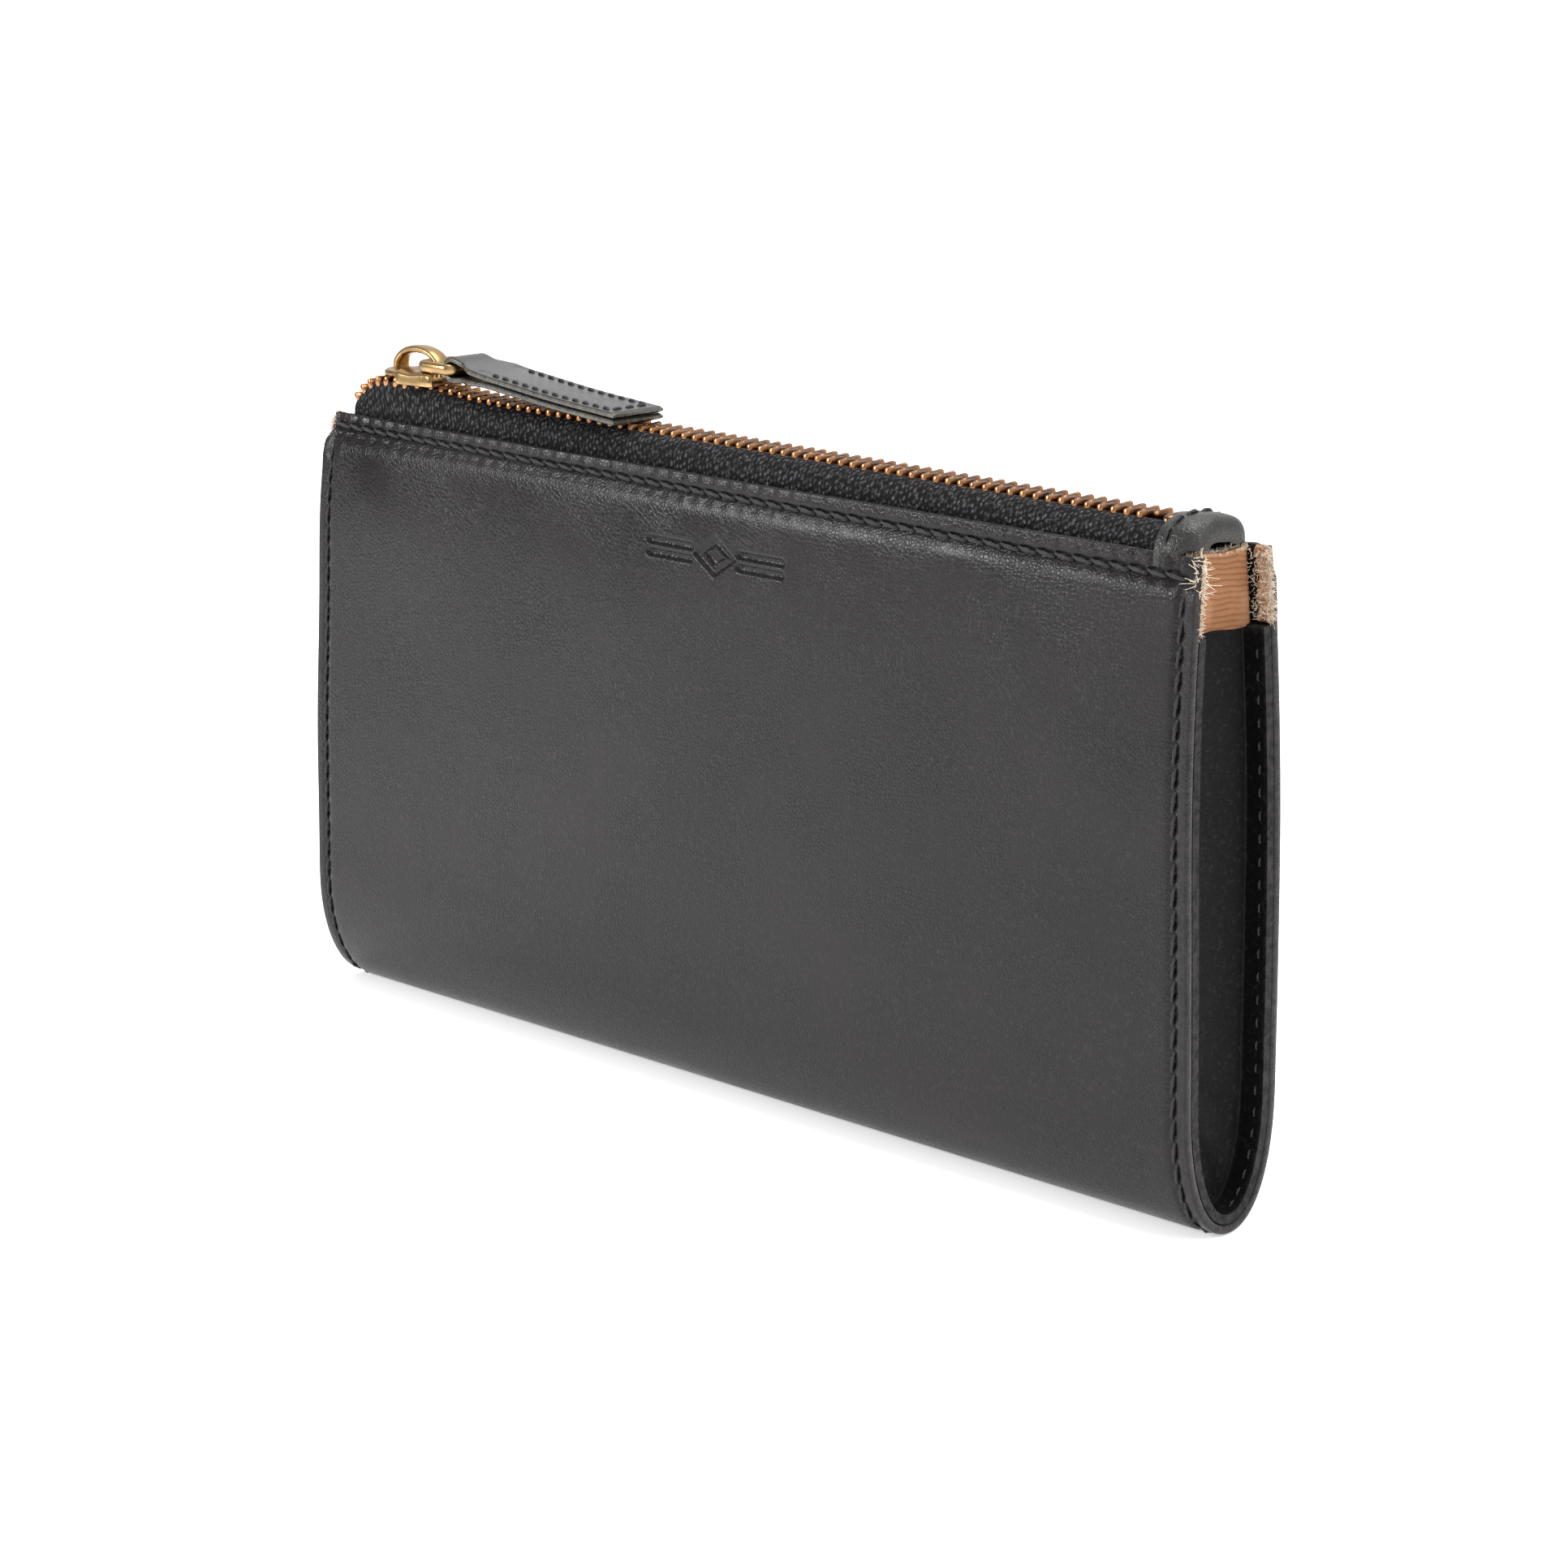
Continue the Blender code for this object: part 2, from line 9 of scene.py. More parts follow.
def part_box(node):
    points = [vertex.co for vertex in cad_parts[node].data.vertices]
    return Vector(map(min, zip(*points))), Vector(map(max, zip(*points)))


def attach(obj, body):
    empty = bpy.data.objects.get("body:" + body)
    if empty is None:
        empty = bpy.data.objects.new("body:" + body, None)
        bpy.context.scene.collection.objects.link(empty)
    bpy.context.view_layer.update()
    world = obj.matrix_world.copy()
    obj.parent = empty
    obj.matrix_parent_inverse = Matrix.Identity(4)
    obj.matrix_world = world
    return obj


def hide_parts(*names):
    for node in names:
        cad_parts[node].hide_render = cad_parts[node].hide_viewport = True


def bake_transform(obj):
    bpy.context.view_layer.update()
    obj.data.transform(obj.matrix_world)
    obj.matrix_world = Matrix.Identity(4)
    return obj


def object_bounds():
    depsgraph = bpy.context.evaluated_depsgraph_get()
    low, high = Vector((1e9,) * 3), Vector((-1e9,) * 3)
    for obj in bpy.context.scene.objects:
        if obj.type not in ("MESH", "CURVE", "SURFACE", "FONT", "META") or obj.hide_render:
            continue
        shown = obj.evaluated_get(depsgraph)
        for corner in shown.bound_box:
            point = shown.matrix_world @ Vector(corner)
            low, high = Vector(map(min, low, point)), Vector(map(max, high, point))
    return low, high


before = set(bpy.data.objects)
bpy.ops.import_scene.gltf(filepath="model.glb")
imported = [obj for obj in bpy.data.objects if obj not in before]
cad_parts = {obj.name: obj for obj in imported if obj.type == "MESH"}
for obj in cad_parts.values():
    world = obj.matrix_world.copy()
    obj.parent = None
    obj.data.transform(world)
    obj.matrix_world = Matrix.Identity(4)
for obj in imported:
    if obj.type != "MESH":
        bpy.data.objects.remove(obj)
cadLow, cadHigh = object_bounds()
mm = 0.001
print("stage 1: frame loaded")


# Mesh tools

def gridFaces(rows, cols, start=0, loop=False):
    # quads over a grid of points; loop joins the last column to the first
    i = np.arange(rows - 1)[:, None]
    j = np.arange(cols if loop else cols - 1)[None, :]
    k = (j + 1) % cols
    quads = np.stack([i * cols + j, i * cols + k, (i + 1) * cols + k, (i + 1) * cols + j], axis=-1)
    return quads.reshape(-1, 4) + start


def capFaces(count, start=0):
    # a ring of an even number of points, filled with a strip of quads
    i = np.arange(count // 2 - 1)
    return np.stack([i, i + 1, count - 2 - i, count - 1 - i], axis=-1) + start


def volumeOf(points, quads):
    a, b, c, d = (points[quads[:, k]] for k in range(4))
    return (np.einsum("ij,ij->i", a, np.cross(b, c)) + np.einsum("ij,ij->i", a, np.cross(c, d))).sum() / 6


def newPiece(name, points, quads, material, uv=None, rim=None, sharp=42, merge=0.0):
    # one closed mesh, faces turned outwards, with an optional UV map in metres and a rim mask
    points = np.asarray(points, float).reshape(-1, 3)
    quads = np.asarray(quads)
    if volumeOf(points, quads) < 0:
        quads = quads[:, ::-1]
    mesh = bpy.data.meshes.new(name)
    mesh.from_pydata(points, [], quads.tolist())
    if uv is not None:
        layer = mesh.uv_layers.new(name="metres")
        corners = np.zeros(len(mesh.loops), np.int32)
        mesh.loops.foreach_get("vertex_index", corners)
        layer.data.foreach_set("uv", np.asarray(uv, np.float32).reshape(-1, 2)[corners].ravel())
    mask = mesh.attributes.new("rim", "FLOAT", "POINT")
    mask.data.foreach_set("value", np.zeros(len(points), np.float32) if rim is None
                          else np.asarray(rim, np.float32).ravel())
    piece = bpy.data.objects.new(name, mesh)
    bpy.context.collection.objects.link(piece)
    if merge:
        weld(mesh, merge)
    mesh.shade_smooth()
    mesh.set_sharp_from_angle(angle=math.radians(sharp))
    mesh.materials.append(material)
    return piece


def weld(mesh, distance):
    shell = bmesh.new()
    shell.from_mesh(mesh)
    bmesh.ops.remove_doubles(shell, verts=shell.verts, dist=distance)
    bmesh.ops.dissolve_degenerate(shell, edges=shell.edges, dist=distance)
    shell.to_mesh(mesh)
    shell.free()


def solidGrid(outer, inner, lowOpen=False, highOpen=False):
    # two matching grids closed round their rims into one body; an open end is welded to its own mirror half
    rows, cols = outer.shape[:2]
    half = rows * cols
    back = gridFaces(rows, cols, half)[:, ::-1]
    parts = [gridFaces(rows, cols), back]
    i, j = np.arange(rows - 1), np.arange(cols - 1)
    for j0, flip in ((0, False), (cols - 1, True)):
        a, b = i * cols + j0, (i + 1) * cols + j0
        strip = np.stack([a, b, b + half, a + half], axis=-1)
        parts.append(strip[:, ::-1] if flip else strip)
    for i0, flip, skip in ((0, True, lowOpen), (rows - 1, False, highOpen)):
        if skip:
            continue
        a, b = i0 * cols + j, i0 * cols + j + 1
        strip = np.stack([a, b, b + half, a + half], axis=-1)
        parts.append(strip[:, ::-1] if flip else strip)
    return np.concatenate([outer.reshape(-1, 3), inner.reshape(-1, 3)]), np.concatenate(parts)


def tubeSolid(rings, closed=False):
    # rings of points joined one after another; capped, or joined into a ring
    count, size = rings.shape[:2]
    points = rings.reshape(-1, 3)
    if closed:
        rings = np.concatenate([rings, rings[:1]])
        quads = gridFaces(count + 1, size, loop=True) % (count * size)
        return points, quads
    quads = [gridFaces(count, size, loop=True), capFaces(size)[:, ::-1], capFaces(size, (count - 1) * size)]
    return points, np.concatenate(quads)


def repeatShape(points, quads, origins, axes):
    # the same small shape at many places; axes holds its three directions at each place
    moved = np.einsum("pk,nkc->npc", points, axes) + origins[:, None, :]
    shift = np.arange(len(origins))[:, None, None] * len(points)
    return moved.reshape(-1, 3), (quads[None] + shift).reshape(-1, 4)


def joinShapes(shapes):
    points, quads, used = [], [], 0
    for p, q in shapes:
        points.append(p)
        quads.append(q + used)
        used += len(p)
    return np.concatenate(points), np.concatenate(quads)


def unit(v):
    return v / np.maximum(np.linalg.norm(v, axis=-1, keepdims=True), 1e-12)


def fullTurn(count):
    return np.linspace(0, 2 * np.pi, count, endpoint=False)


def blunt(wave, power):
    # a sine or cosine made squarer by a power under 1: its sign times the power of its size
    return np.sign(wave) * np.abs(wave) ** power


def roundOff(near):
    # quarter circle, 0 at an edge and 1 where the full thickness is reached
    return np.sqrt(1 - (1 - near) ** 2)


def runAlong(line):
    # distance walked along a line of points
    return np.append(0, np.cumsum(np.linalg.norm(np.diff(line, axis=0), axis=-1)))


def smoothed(values, reach, spread):
    # running mean weighted with a bell curve; beyond its ends the line goes on as its own turned image
    kernel = np.exp(-0.5 * (np.arange(-reach, reach + 1) / spread) ** 2)
    kernel /= kernel.sum()
    return np.convolve(np.pad(values, reach, mode="reflect", reflect_type="odd"), kernel, mode="valid")


def stepped(marks):
    # stations through [(place, step), ...]: each stretch up to the next place is cut at about its own step
    runs = []
    for (low, step), (high, _) in zip(marks, marks[1:]):
        count = max(1, round((high - low) / step))
        runs.append(np.linspace(low, high, count, endpoint=False))
    return np.concatenate(runs + [[marks[-1][0]]])


# The wallet's outside shape

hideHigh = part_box("shell_back")[1]
wallet = {
    "halfLength": hideHigh.x,
    "height": hideHigh.z,
    "belly": 10.6 * mm,  # half thickness where it is fullest
    "bellyHeight": 55 * mm,
    "topDrop": 1.9 * mm,  # how much a side draws in from the belly to the top edge
    "rightDrop": 0.7 * mm,  # how much more at the right end
    "lowDrop": 0.35,  # share of the same curve below the belly
    "bow": 1.2 * mm,  # outward bow of the top edge half way along
    "pinch": 3.9 * mm,  # how much the top is pinched together at the left end
    "pinchPower": 8,
    "baseHeight": 22 * mm,
    "baseRoundness": 2.2,
    "ripple": 0.17 * mm,
    "foldY": -3.8 * mm,  # where the front panel is hinged under the foot
    "openFrom": 24 * mm,  # the front pieces are split into a left and a right half here
    "hide": 1.6 * mm,
}


def makeOutline(count=3000):
    # Cross-section from the front top edge round the base to the back top edge: y is a parabola of z
    # above the base and a superellipse below, then the whole line is smoothed a little.
    w = wallet
    z = np.linspace(w["height"], w["baseHeight"], count)
    away = (z - w["bellyHeight"]) / (w["height"] - w["bellyHeight"])
    y = w["belly"] - w["topDrop"] * away ** 2 * np.where(away > 0, 1, w["lowDrop"])
    turn = np.linspace(0, np.pi / 2, count)[1:]
    power = 2 / w["baseRoundness"]
    y = np.append(y, y[-1] * np.cos(turn).clip(0) ** power)
    z = np.append(z, w["baseHeight"] * (1 - np.sin(turn) ** power))
    y, z = np.append(-y, y[-2::-1]), np.append(z, z[-2::-1])
    run = np.append(0, np.cumsum(np.hypot(np.diff(y), np.diff(z))))
    even = np.arange(0, run[-1], 0.05 * mm)
    y, z = np.interp(even, run, y), np.interp(even, run, z)
    y, z = smoothed(y, 120, 40), smoothed(z, 120, 40)
    return even, y, z - z.min()


outlineS, outlineY, outlineZ = makeOutline()
wholeRun = outlineS[-1]
midRun = wholeRun / 2


def leanAt(x, z):
    # How far the middle of the section stands back. Left end: forward at the foot, back at the chest, each
    # a bell curve. Right end: a smooth step from the foot to the top. Straight mixing between the ends.
    part = np.clip((x / wallet["halfLength"] + 1) / 2, 0, 1)
    left = 1.3 * np.exp(-((z - 68 * mm) / (20 * mm)) ** 2) - 0.6 * np.exp(-((z - 14 * mm) / (14 * mm)) ** 2)
    right = 0.7 + 1.5 / (1 + np.exp((z - 52 * mm) / (16 * mm)))
    return ((1 - part) * left + part * right) * mm


def hideSurface(x, s):
    # the outline at run s, leaning, bowed along the top, pinched at the left and gently rippled all over
    w = wallet
    y, z = np.interp(s, outlineS, outlineY), np.interp(s, outlineS, outlineZ)
    x, y, z = np.broadcast_arrays(x, y, z)
    side = np.clip((np.asarray(s) - midRun) / (6 * mm), -1, 1)
    along, rise = x / w["halfLength"], z / w["height"]
    bow = w["bow"] * (1 - along ** 2) * rise ** 2
    pinch = w["pinch"] * (1 - along) / 2 * np.maximum(rise, 0) ** w["pinchPower"]
    above = np.maximum(z - w["bellyHeight"], 0) / (w["height"] - w["bellyHeight"])
    pinch = pinch + w["rightDrop"] * (1 + along) / 2 * above ** 2
    wave = np.sin(x / (29 * mm) + z / (21 * mm) + side) + 0.6 * np.sin(x / (13 * mm) - z / (17 * mm))
    wave = wave + 0.45 * np.sin(x / (7.5 * mm) + z / (9 * mm) + 2) * np.clip(rise, 0, 1) ** 2
    y = y + leanAt(x, z) + side * (bow - pinch + w["ripple"] * wave * np.clip(4 * rise, 0, 1))
    return np.stack([x, y, z], axis=-1)


def outwardAt(x, s):
    e = 0.25 * mm
    down = hideSurface(x, s + e) - hideSurface(x, s - e)
    along = hideSurface(x + e, s) - hideSurface(x - e, s)
    return unit(np.cross(down, along))


def layerPoint(x, s, depth):
    return hideSurface(x, s) - np.asarray(depth)[..., None] * outwardAt(x, s)


def runAtHeight(z, side=-1):
    # run along the outline at which the wall has this height
    half = outlineS <= midRun
    run = np.interp(-z, -outlineZ[half], outlineS[half])
    return run if side < 0 else wholeRun - run


def foldRunAt(x):
    # run at which the outline crosses the hinge line under the foot, found by a few rounds of correction
    run = np.full(np.shape(x), midRun)
    low = outlineZ < 20 * mm
    for _ in range(6):
        height = np.interp(run, outlineS, outlineZ)
        run = np.interp(wallet["foldY"] - leanAt(x, height), outlineY[low], outlineS[low])
    return run


foldRun = float(foldRunAt(0.0))


def layerGrid(xs, ss, depth, thickness, relief=None, radius=0.4 * mm, endX=None, fold=None,
              band=0.0):
    # Outer and inner face of one layer of a panel. Towards a cut edge the layer thins to a rounded lip:
    # half thickness times the root of 1 - (1 - distance / radius) squared. A layer that ends at the fold has
    # its runs stretched to reach it, and no lip there.
    x, s = np.meshgrid(xs, ss, indexing="ij")
    if fold == "front":
        s = s * (foldRunAt(x) / foldRun)
    if fold == "back":
        s = wholeRun - (wholeRun - s) * (wholeRun - foldRunAt(x)) / (wholeRun - foldRun)
    end = wallet["halfLength"] if endX is None else endX
    edge = end - np.abs(x)
    if fold != "back":
        edge = np.minimum(edge, s - s[:, :1])
    if fold != "front":
        edge = np.minimum(edge, s[:, -1:] - s)
    near = np.clip(edge / radius, 0, 1)
    full = 0.62 + 0.38 * roundOff(near)
    place, out = hideSurface(x, s), outwardAt(x, s)
    lift = 0 if relief is None else relief(x, s)
    outer = place - out * (depth + thickness / 2 * (1 - full) - lift)[..., None]
    inner = place - out * (depth + thickness / 2 * (1 + full))[..., None]
    rim = np.maximum(1 - near, band * np.clip((2.2 * mm - edge) / (0.5 * mm), 0, 1))
    return outer, inner, np.stack([x, s], axis=-1), rim


def bendWithMouth(piece):
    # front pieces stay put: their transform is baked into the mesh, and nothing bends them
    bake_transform(piece)


def panelPiece(name, xs, layer, material, front, replaces=None):
    # one layer as a single piece at the back, or as two halves at the front, split at openFrom and left where
    # they are
    outer, inner, uv, rim = layer
    cut = int(np.argmin(np.abs(xs - wallet["openFrom"])))
    spans = [("Left", slice(0, cut + 1)), ("Right", slice(cut, None))] if front else [("", slice(None))]
    for label, span in spans:
        points, quads = solidGrid(outer[span], inner[span])
        twice = np.concatenate([uv[span].reshape(-1, 2)] * 2)
        piece = newPiece(name + label, points, quads, material, uv=twice, rim=np.tile(rim[span].ravel(), 2))
        if front:
            bendWithMouth(piece)
        else:
            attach(piece, "back_body")
        if replaces:
            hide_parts(replaces)


# Shader tools

def addNode(tree, kind, inputs=None, **settings):
    made = tree.nodes.new(kind)
    for key, value in settings.items():
        setattr(made, key, value)
    for key, value in (inputs or {}).items():
        if isinstance(value, bpy.types.NodeSocket):
            tree.links.new(value, made.inputs[key])
        else:
            made.inputs[key].default_value = value
    return made


def mathNode(tree, operation, a, b=0.0, c=0.0, clamp=False):
    made = addNode(tree, "ShaderNodeMath", {0: a, 1: b, 2: c}, operation=operation, use_clamp=clamp)
    return made.outputs[0]


def rampNode(tree, value, low, high, start=0.0, end=1.0):
    return addNode(tree, "ShaderNodeMapRange", {"Value": value, "From Min": low, "From Max": high,
                                                "To Min": start, "To Max": end}).outputs["Result"]


def mixColour(tree, factor, a, b, blend="MIX"):
    made = addNode(tree, "ShaderNodeMix", {0: factor, 6: a, 7: b}, data_type="RGBA", blend_type=blend)
    return made.outputs[2]


def newGroup(name, inputs, outputs):
    group = bpy.data.node_groups.new(name, "ShaderNodeTree")
    for label, kind, value in inputs:
        socket = group.interface.new_socket(name=label, in_out="INPUT", socket_type="NodeSocket" + kind)
        if value is not None:
            socket.default_value = value
    for label, kind in outputs:
        group.interface.new_socket(name=label, in_out="OUTPUT", socket_type="NodeSocket" + kind)
    return group, group.nodes.new("NodeGroupInput").outputs, group.nodes.new("NodeGroupOutput").inputs


def useGroup(tree, group, inputs):
    return addNode(tree, "ShaderNodeGroup", inputs, node_tree=group).outputs


def sRgb(r, g, b):
    # a colour as the eye sees it, 0 to 255, turned into the shader's linear values
    parts = [c / 255 for c in (r, g, b)]
    return tuple(p / 12.92 if p <= 0.04045 else ((p + 0.055) / 1.055) ** 2.4 for p in parts) + (1.0,)


def makeGrainGroup():
    # pebbled grain: warped cells with creases between them, finer pores on top and slow changes of strength
    group, given, out = newGroup(
        "hideGrain",
        [("Vector", "Vector", None), ("Cells per metre", "Float", 1100.0), ("Warp", "Float", 0.0006)],
        [("Height", "Float"), ("Crease", "Float"), ("Patch", "Float")])
    warp = addNode(group, "ShaderNodeTexNoise", {"Vector": given["Vector"], "Scale": 420.0, "Detail": 2.0})
    centred = addNode(group, "ShaderNodeVectorMath", {0: warp.outputs["Color"], 1: (0.5, 0.5, 0.5)},
                      operation="SUBTRACT")
    moved = addNode(group, "ShaderNodeVectorMath", {0: centred.outputs[0], "Scale": given["Warp"]},
                    operation="SCALE")
    place = addNode(group, "ShaderNodeVectorMath", {0: given["Vector"], 1: moved.outputs[0]}, operation="ADD")
    spot = {"Vector": place.outputs[0], "Scale": given["Cells per metre"]}
    cells = addNode(group, "ShaderNodeTexVoronoi", spot, feature="DISTANCE_TO_EDGE")
    crease = rampNode(group, cells.outputs["Distance"], 0.0, 0.22, 1.0, 0.0)
    pores = addNode(group, "ShaderNodeTexNoise", {"Vector": given["Vector"], "Scale": 3300.0, "Detail": 3.0,
                                                  "Roughness": 0.6})
    patch = addNode(group, "ShaderNodeTexNoise", {"Vector": given["Vector"], "Scale": 90.0, "Detail": 4.0})
    strength = rampNode(group, patch.outputs["Fac"], 0.35, 0.65, 0.35, 1.0)
    hill = mathNode(group, "MULTIPLY", mathNode(group, "SUBTRACT", 1.0, crease), strength)
    height = mathNode(group, "MULTIPLY_ADD", pores.outputs["Fac"], 0.35, hill)
    group.links.new(height, out["Height"])
    group.links.new(mathNode(group, "MULTIPLY", crease, strength), out["Crease"])
    group.links.new(patch.outputs["Fac"], out["Patch"])
    return group


def makeMottleGroup():
    # broad soft patches and fine specks, both centred on zero
    group, given, out = newGroup("mottle", [("Vector", "Vector", None), ("Scale", "Float", 40.0)],
                                 [("Broad", "Float"), ("Specks", "Float")])
    broad = addNode(group, "ShaderNodeTexNoise", {"Vector": given["Vector"], "Scale": given["Scale"],
                                                  "Detail": 4.0})
    fine = addNode(group, "ShaderNodeTexNoise", {"Vector": given["Vector"], "Detail": 2.0,
                                                 "Scale": mathNode(group, "MULTIPLY", given["Scale"], 45.0)})
    group.links.new(mathNode(group, "SUBTRACT", broad.outputs["Fac"], 0.5), out["Broad"])
    group.links.new(rampNode(group, fine.outputs["Fac"], 0.56, 0.75, 0.0, 1.0), out["Specks"])
    return group


def makeWeaveGroup():
    # diagonal ribs crossed by finer threads: sine of the slanted distance times sine of the cross one
    group, given, out = newGroup("weave", [("Vector", "Vector", None), ("Ribs per metre", "Float", 1000.0),
                                           ("Slant", "Float", 0.8), ("Cross", "Float", 1.0)],
                                 [("Height", "Float"), ("Gap", "Float")])
    wobble = addNode(group, "ShaderNodeTexNoise", {"Vector": given["Vector"], "Scale": 260.0, "Detail": 3.0})
    parts = addNode(group, "ShaderNodeSeparateXYZ", {0: given["Vector"]})
    drift = mathNode(group, "MULTIPLY", mathNode(group, "SUBTRACT", wobble.outputs["Fac"], 0.5), 0.0009)
    slanted = mathNode(group, "MULTIPLY_ADD", parts.outputs["X"], given["Slant"], parts.outputs["Y"])
    slanted = mathNode(group, "ADD", slanted, drift)
    turns = mathNode(group, "MULTIPLY", given["Ribs per metre"], 2 * math.pi)
    rib = mathNode(group, "SINE", mathNode(group, "MULTIPLY", slanted, turns))
    crossing = mathNode(group, "SUBTRACT", parts.outputs["X"], mathNode(group, "MULTIPLY", parts.outputs["Y"],
                                                                        given["Slant"]))
    finer = mathNode(group, "MULTIPLY", turns, 2.1)
    threads = mathNode(group, "SINE", mathNode(group, "MULTIPLY", crossing, finer))
    height = mathNode(group, "MULTIPLY_ADD", mathNode(group, "MULTIPLY", threads, given["Cross"]), 0.3, rib)
    group.links.new(rampNode(group, height, -1.2, 1.2), out["Height"])
    group.links.new(rampNode(group, height, -1.1, -0.2, 1.0, 0.0), out["Gap"])
    return group


def makeWornGroup():
    # where a cut or bent edge is rubbed: the rim mask broken up by noise
    group, given, out = newGroup("rubbedEdge", [("Vector", "Vector", None), ("Rim", "Float", 0.0),
                                                ("Scale", "Float", 900.0)], [("Rubbed", "Float")])
    noise = addNode(group, "ShaderNodeTexNoise", {"Vector": given["Vector"], "Scale": given["Scale"],
                                                  "Detail": 4.0})
    broken = mathNode(group, "MULTIPLY", given["Rim"], rampNode(group, noise.outputs["Fac"], 0.35, 0.65))
    group.links.new(mathNode(group, "MINIMUM", broken, 1.0), out["Rubbed"])
    return group


grainGroup, mottleGroup = makeGrainGroup(), makeMottleGroup()
weaveGroup, rubbedGroup = makeWeaveGroup(), makeWornGroup()


def startMaterial(name, **constants):
    material = bpy.data.materials.new(name)
    material.use_nodes = True
    tree = material.node_tree
    shader = tree.nodes["Principled BSDF"]
    for key, value in constants.items():
        shader.inputs[key.replace("_", " ")].default_value = value
    place = tree.nodes.new("ShaderNodeTexCoord").outputs["Object"]
    return material, tree, shader, place


def bumpInto(tree, shader, height, strength, distance):
    bump = addNode(tree, "ShaderNodeBump", {"Height": height, "Strength": strength, "Distance": distance})
    tree.links.new(bump.outputs["Normal"], shader.inputs["Normal"])


def leatherMaterial(name, look):
    # dyed leather: grain in bump and in colour, its creases darkened with painted shade, lighter rubbed rims,
    # roughness that changes with the patches
    material, tree, shader, place = startMaterial(name, Specular_IOR_Level=look["specular"])
    grain = useGroup(tree, grainGroup, {"Vector": place, "Cells per metre": look["cells"]})
    mottle = useGroup(tree, mottleGroup, {"Vector": place, "Scale": look["mottle"]})
    rim = addNode(tree, "ShaderNodeAttribute", attribute_name="rim").outputs["Fac"]
    rubbed = useGroup(tree, rubbedGroup, {"Vector": place, "Rim": rim})["Rubbed"]
    tone = rampNode(tree, mottle["Broad"], -0.22, 0.22)
    colour = mixColour(tree, tone, look["dark"], look["light"])
    # the grain's creases are darkened with painted shade; the specks and the rubbed rims are the leather's
    # own colour
    for mask, share, over in ((grain["Crease"], "crease", "inCrease"), (mottle["Specks"], "specks", "speck"),
                              (rubbed, "rubbed", "rim")):
        colour = mixColour(tree, mathNode(tree, "MULTIPLY", mask, look[share]), colour, look[over])
    tree.links.new(colour, shader.inputs["Base Color"])
    gloss = mathNode(tree, "MULTIPLY_ADD", grain["Crease"], 0.12, look["roughness"])
    gloss = mathNode(tree, "MULTIPLY_ADD", mottle["Broad"], 0.25, gloss)
    tree.links.new(gloss, shader.inputs["Roughness"])
    bumpInto(tree, shader, grain["Height"], look["bump"], 0.00016)
    return material


# the crease share and its colour paint shade into the grain's creases
hideLook = {"specular": 0.25, "cells": 1500.0, "mottle": 30.0, "dark": sRgb(15, 12, 14),
            "light": sRgb(30, 26, 28), "crease": 0.4, "inCrease": sRgb(8, 7, 8), "specks": 0.12,
            "speck": sRgb(90, 86, 84), "rubbed": 0.7, "rim": sRgb(52, 50, 46), "roughness": 0.27,
            "bump": 0.25}
hide = leatherMaterial("blackHide", hideLook)
pullLeather = leatherMaterial("pullLeather", dict(
    hideLook, light=sRgb(40, 39, 42), dark=sRgb(27, 26, 28), rim=sRgb(78, 72, 54), rubbed=1.0, roughness=0.24,
    specular=0.7, bump=0.12))
tabLeather = leatherMaterial("tabLeather", dict(
    hideLook, light=sRgb(36, 35, 31), dark=sRgb(18, 18, 15), roughness=0.3, specular=0.5, mottle=90.0,
    bump=0.3))
innerLeather = leatherMaterial("innerLeather", dict(
    hideLook, light=sRgb(30, 27, 28), dark=sRgb(20, 18, 19), roughness=0.5, specular=0.25,
    bump=0.2))
# the end channels' leather: a darker, less glossy copy of the hide, painted shade of the recess they sit in
gussetShadedLeather = leatherMaterial("gussetShadedLeather", dict(
    hideLook, light=sRgb(16, 14, 14), dark=sRgb(9, 8, 8), roughness=0.5, specular=0.14,
    rim=sRgb(52, 50, 52)))


def twillMaterial():
    # tan twill: diagonal ribs, painted shade between them and painted shade darkening it towards the foot of
    # the wallet, paler frayed rims
    material, tree, shader, place = startMaterial("tanTwill", Roughness=0.9, Specular_IOR_Level=0.2)
    parts = addNode(tree, "ShaderNodeSeparateXYZ", {0: place})
    sideways = mathNode(tree, "ADD", parts.outputs["Y"], parts.outputs["X"])
    flat = addNode(tree, "ShaderNodeCombineXYZ", {0: sideways, 1: parts.outputs["Z"], 2: 0.0}).outputs[0]
    weave = useGroup(tree, weaveGroup, {"Vector": flat, "Ribs per metre": 1200.0, "Slant": 0.06,
                                        "Cross": 0.8})
    mottle = useGroup(tree, mottleGroup, {"Vector": place, "Scale": 160.0})
    rim = addNode(tree, "ShaderNodeAttribute", attribute_name="rim").outputs["Fac"]
    # painted shade: the twill darkens lower down, deeper inside the wallet and its end channels
    low = rampNode(tree, parts.outputs["Z"], 0.080, 0.093, 0.0, 1.0)
    colour = mixColour(tree, low, sRgb(92, 58, 36), sRgb(152, 108, 76))
    # painted shade in the gaps between the ribs
    colour = mixColour(tree, mathNode(tree, "MULTIPLY", weave["Gap"], 0.6), colour, sRgb(96, 58, 36))
    paler = rampNode(tree, mottle["Broad"], 0.0, 0.25, 0.0, 0.5)
    colour = mixColour(tree, paler, colour, sRgb(196, 152, 116))
    rubbed = useGroup(tree, rubbedGroup, {"Vector": place, "Rim": rim, "Scale": 1500.0})["Rubbed"]
    colour = mixColour(tree, rubbed, colour, sRgb(222, 190, 158))
    tree.links.new(colour, shader.inputs["Base Color"])
    bumpInto(tree, shader, weave["Height"], 0.8, 0.00025)
    return material


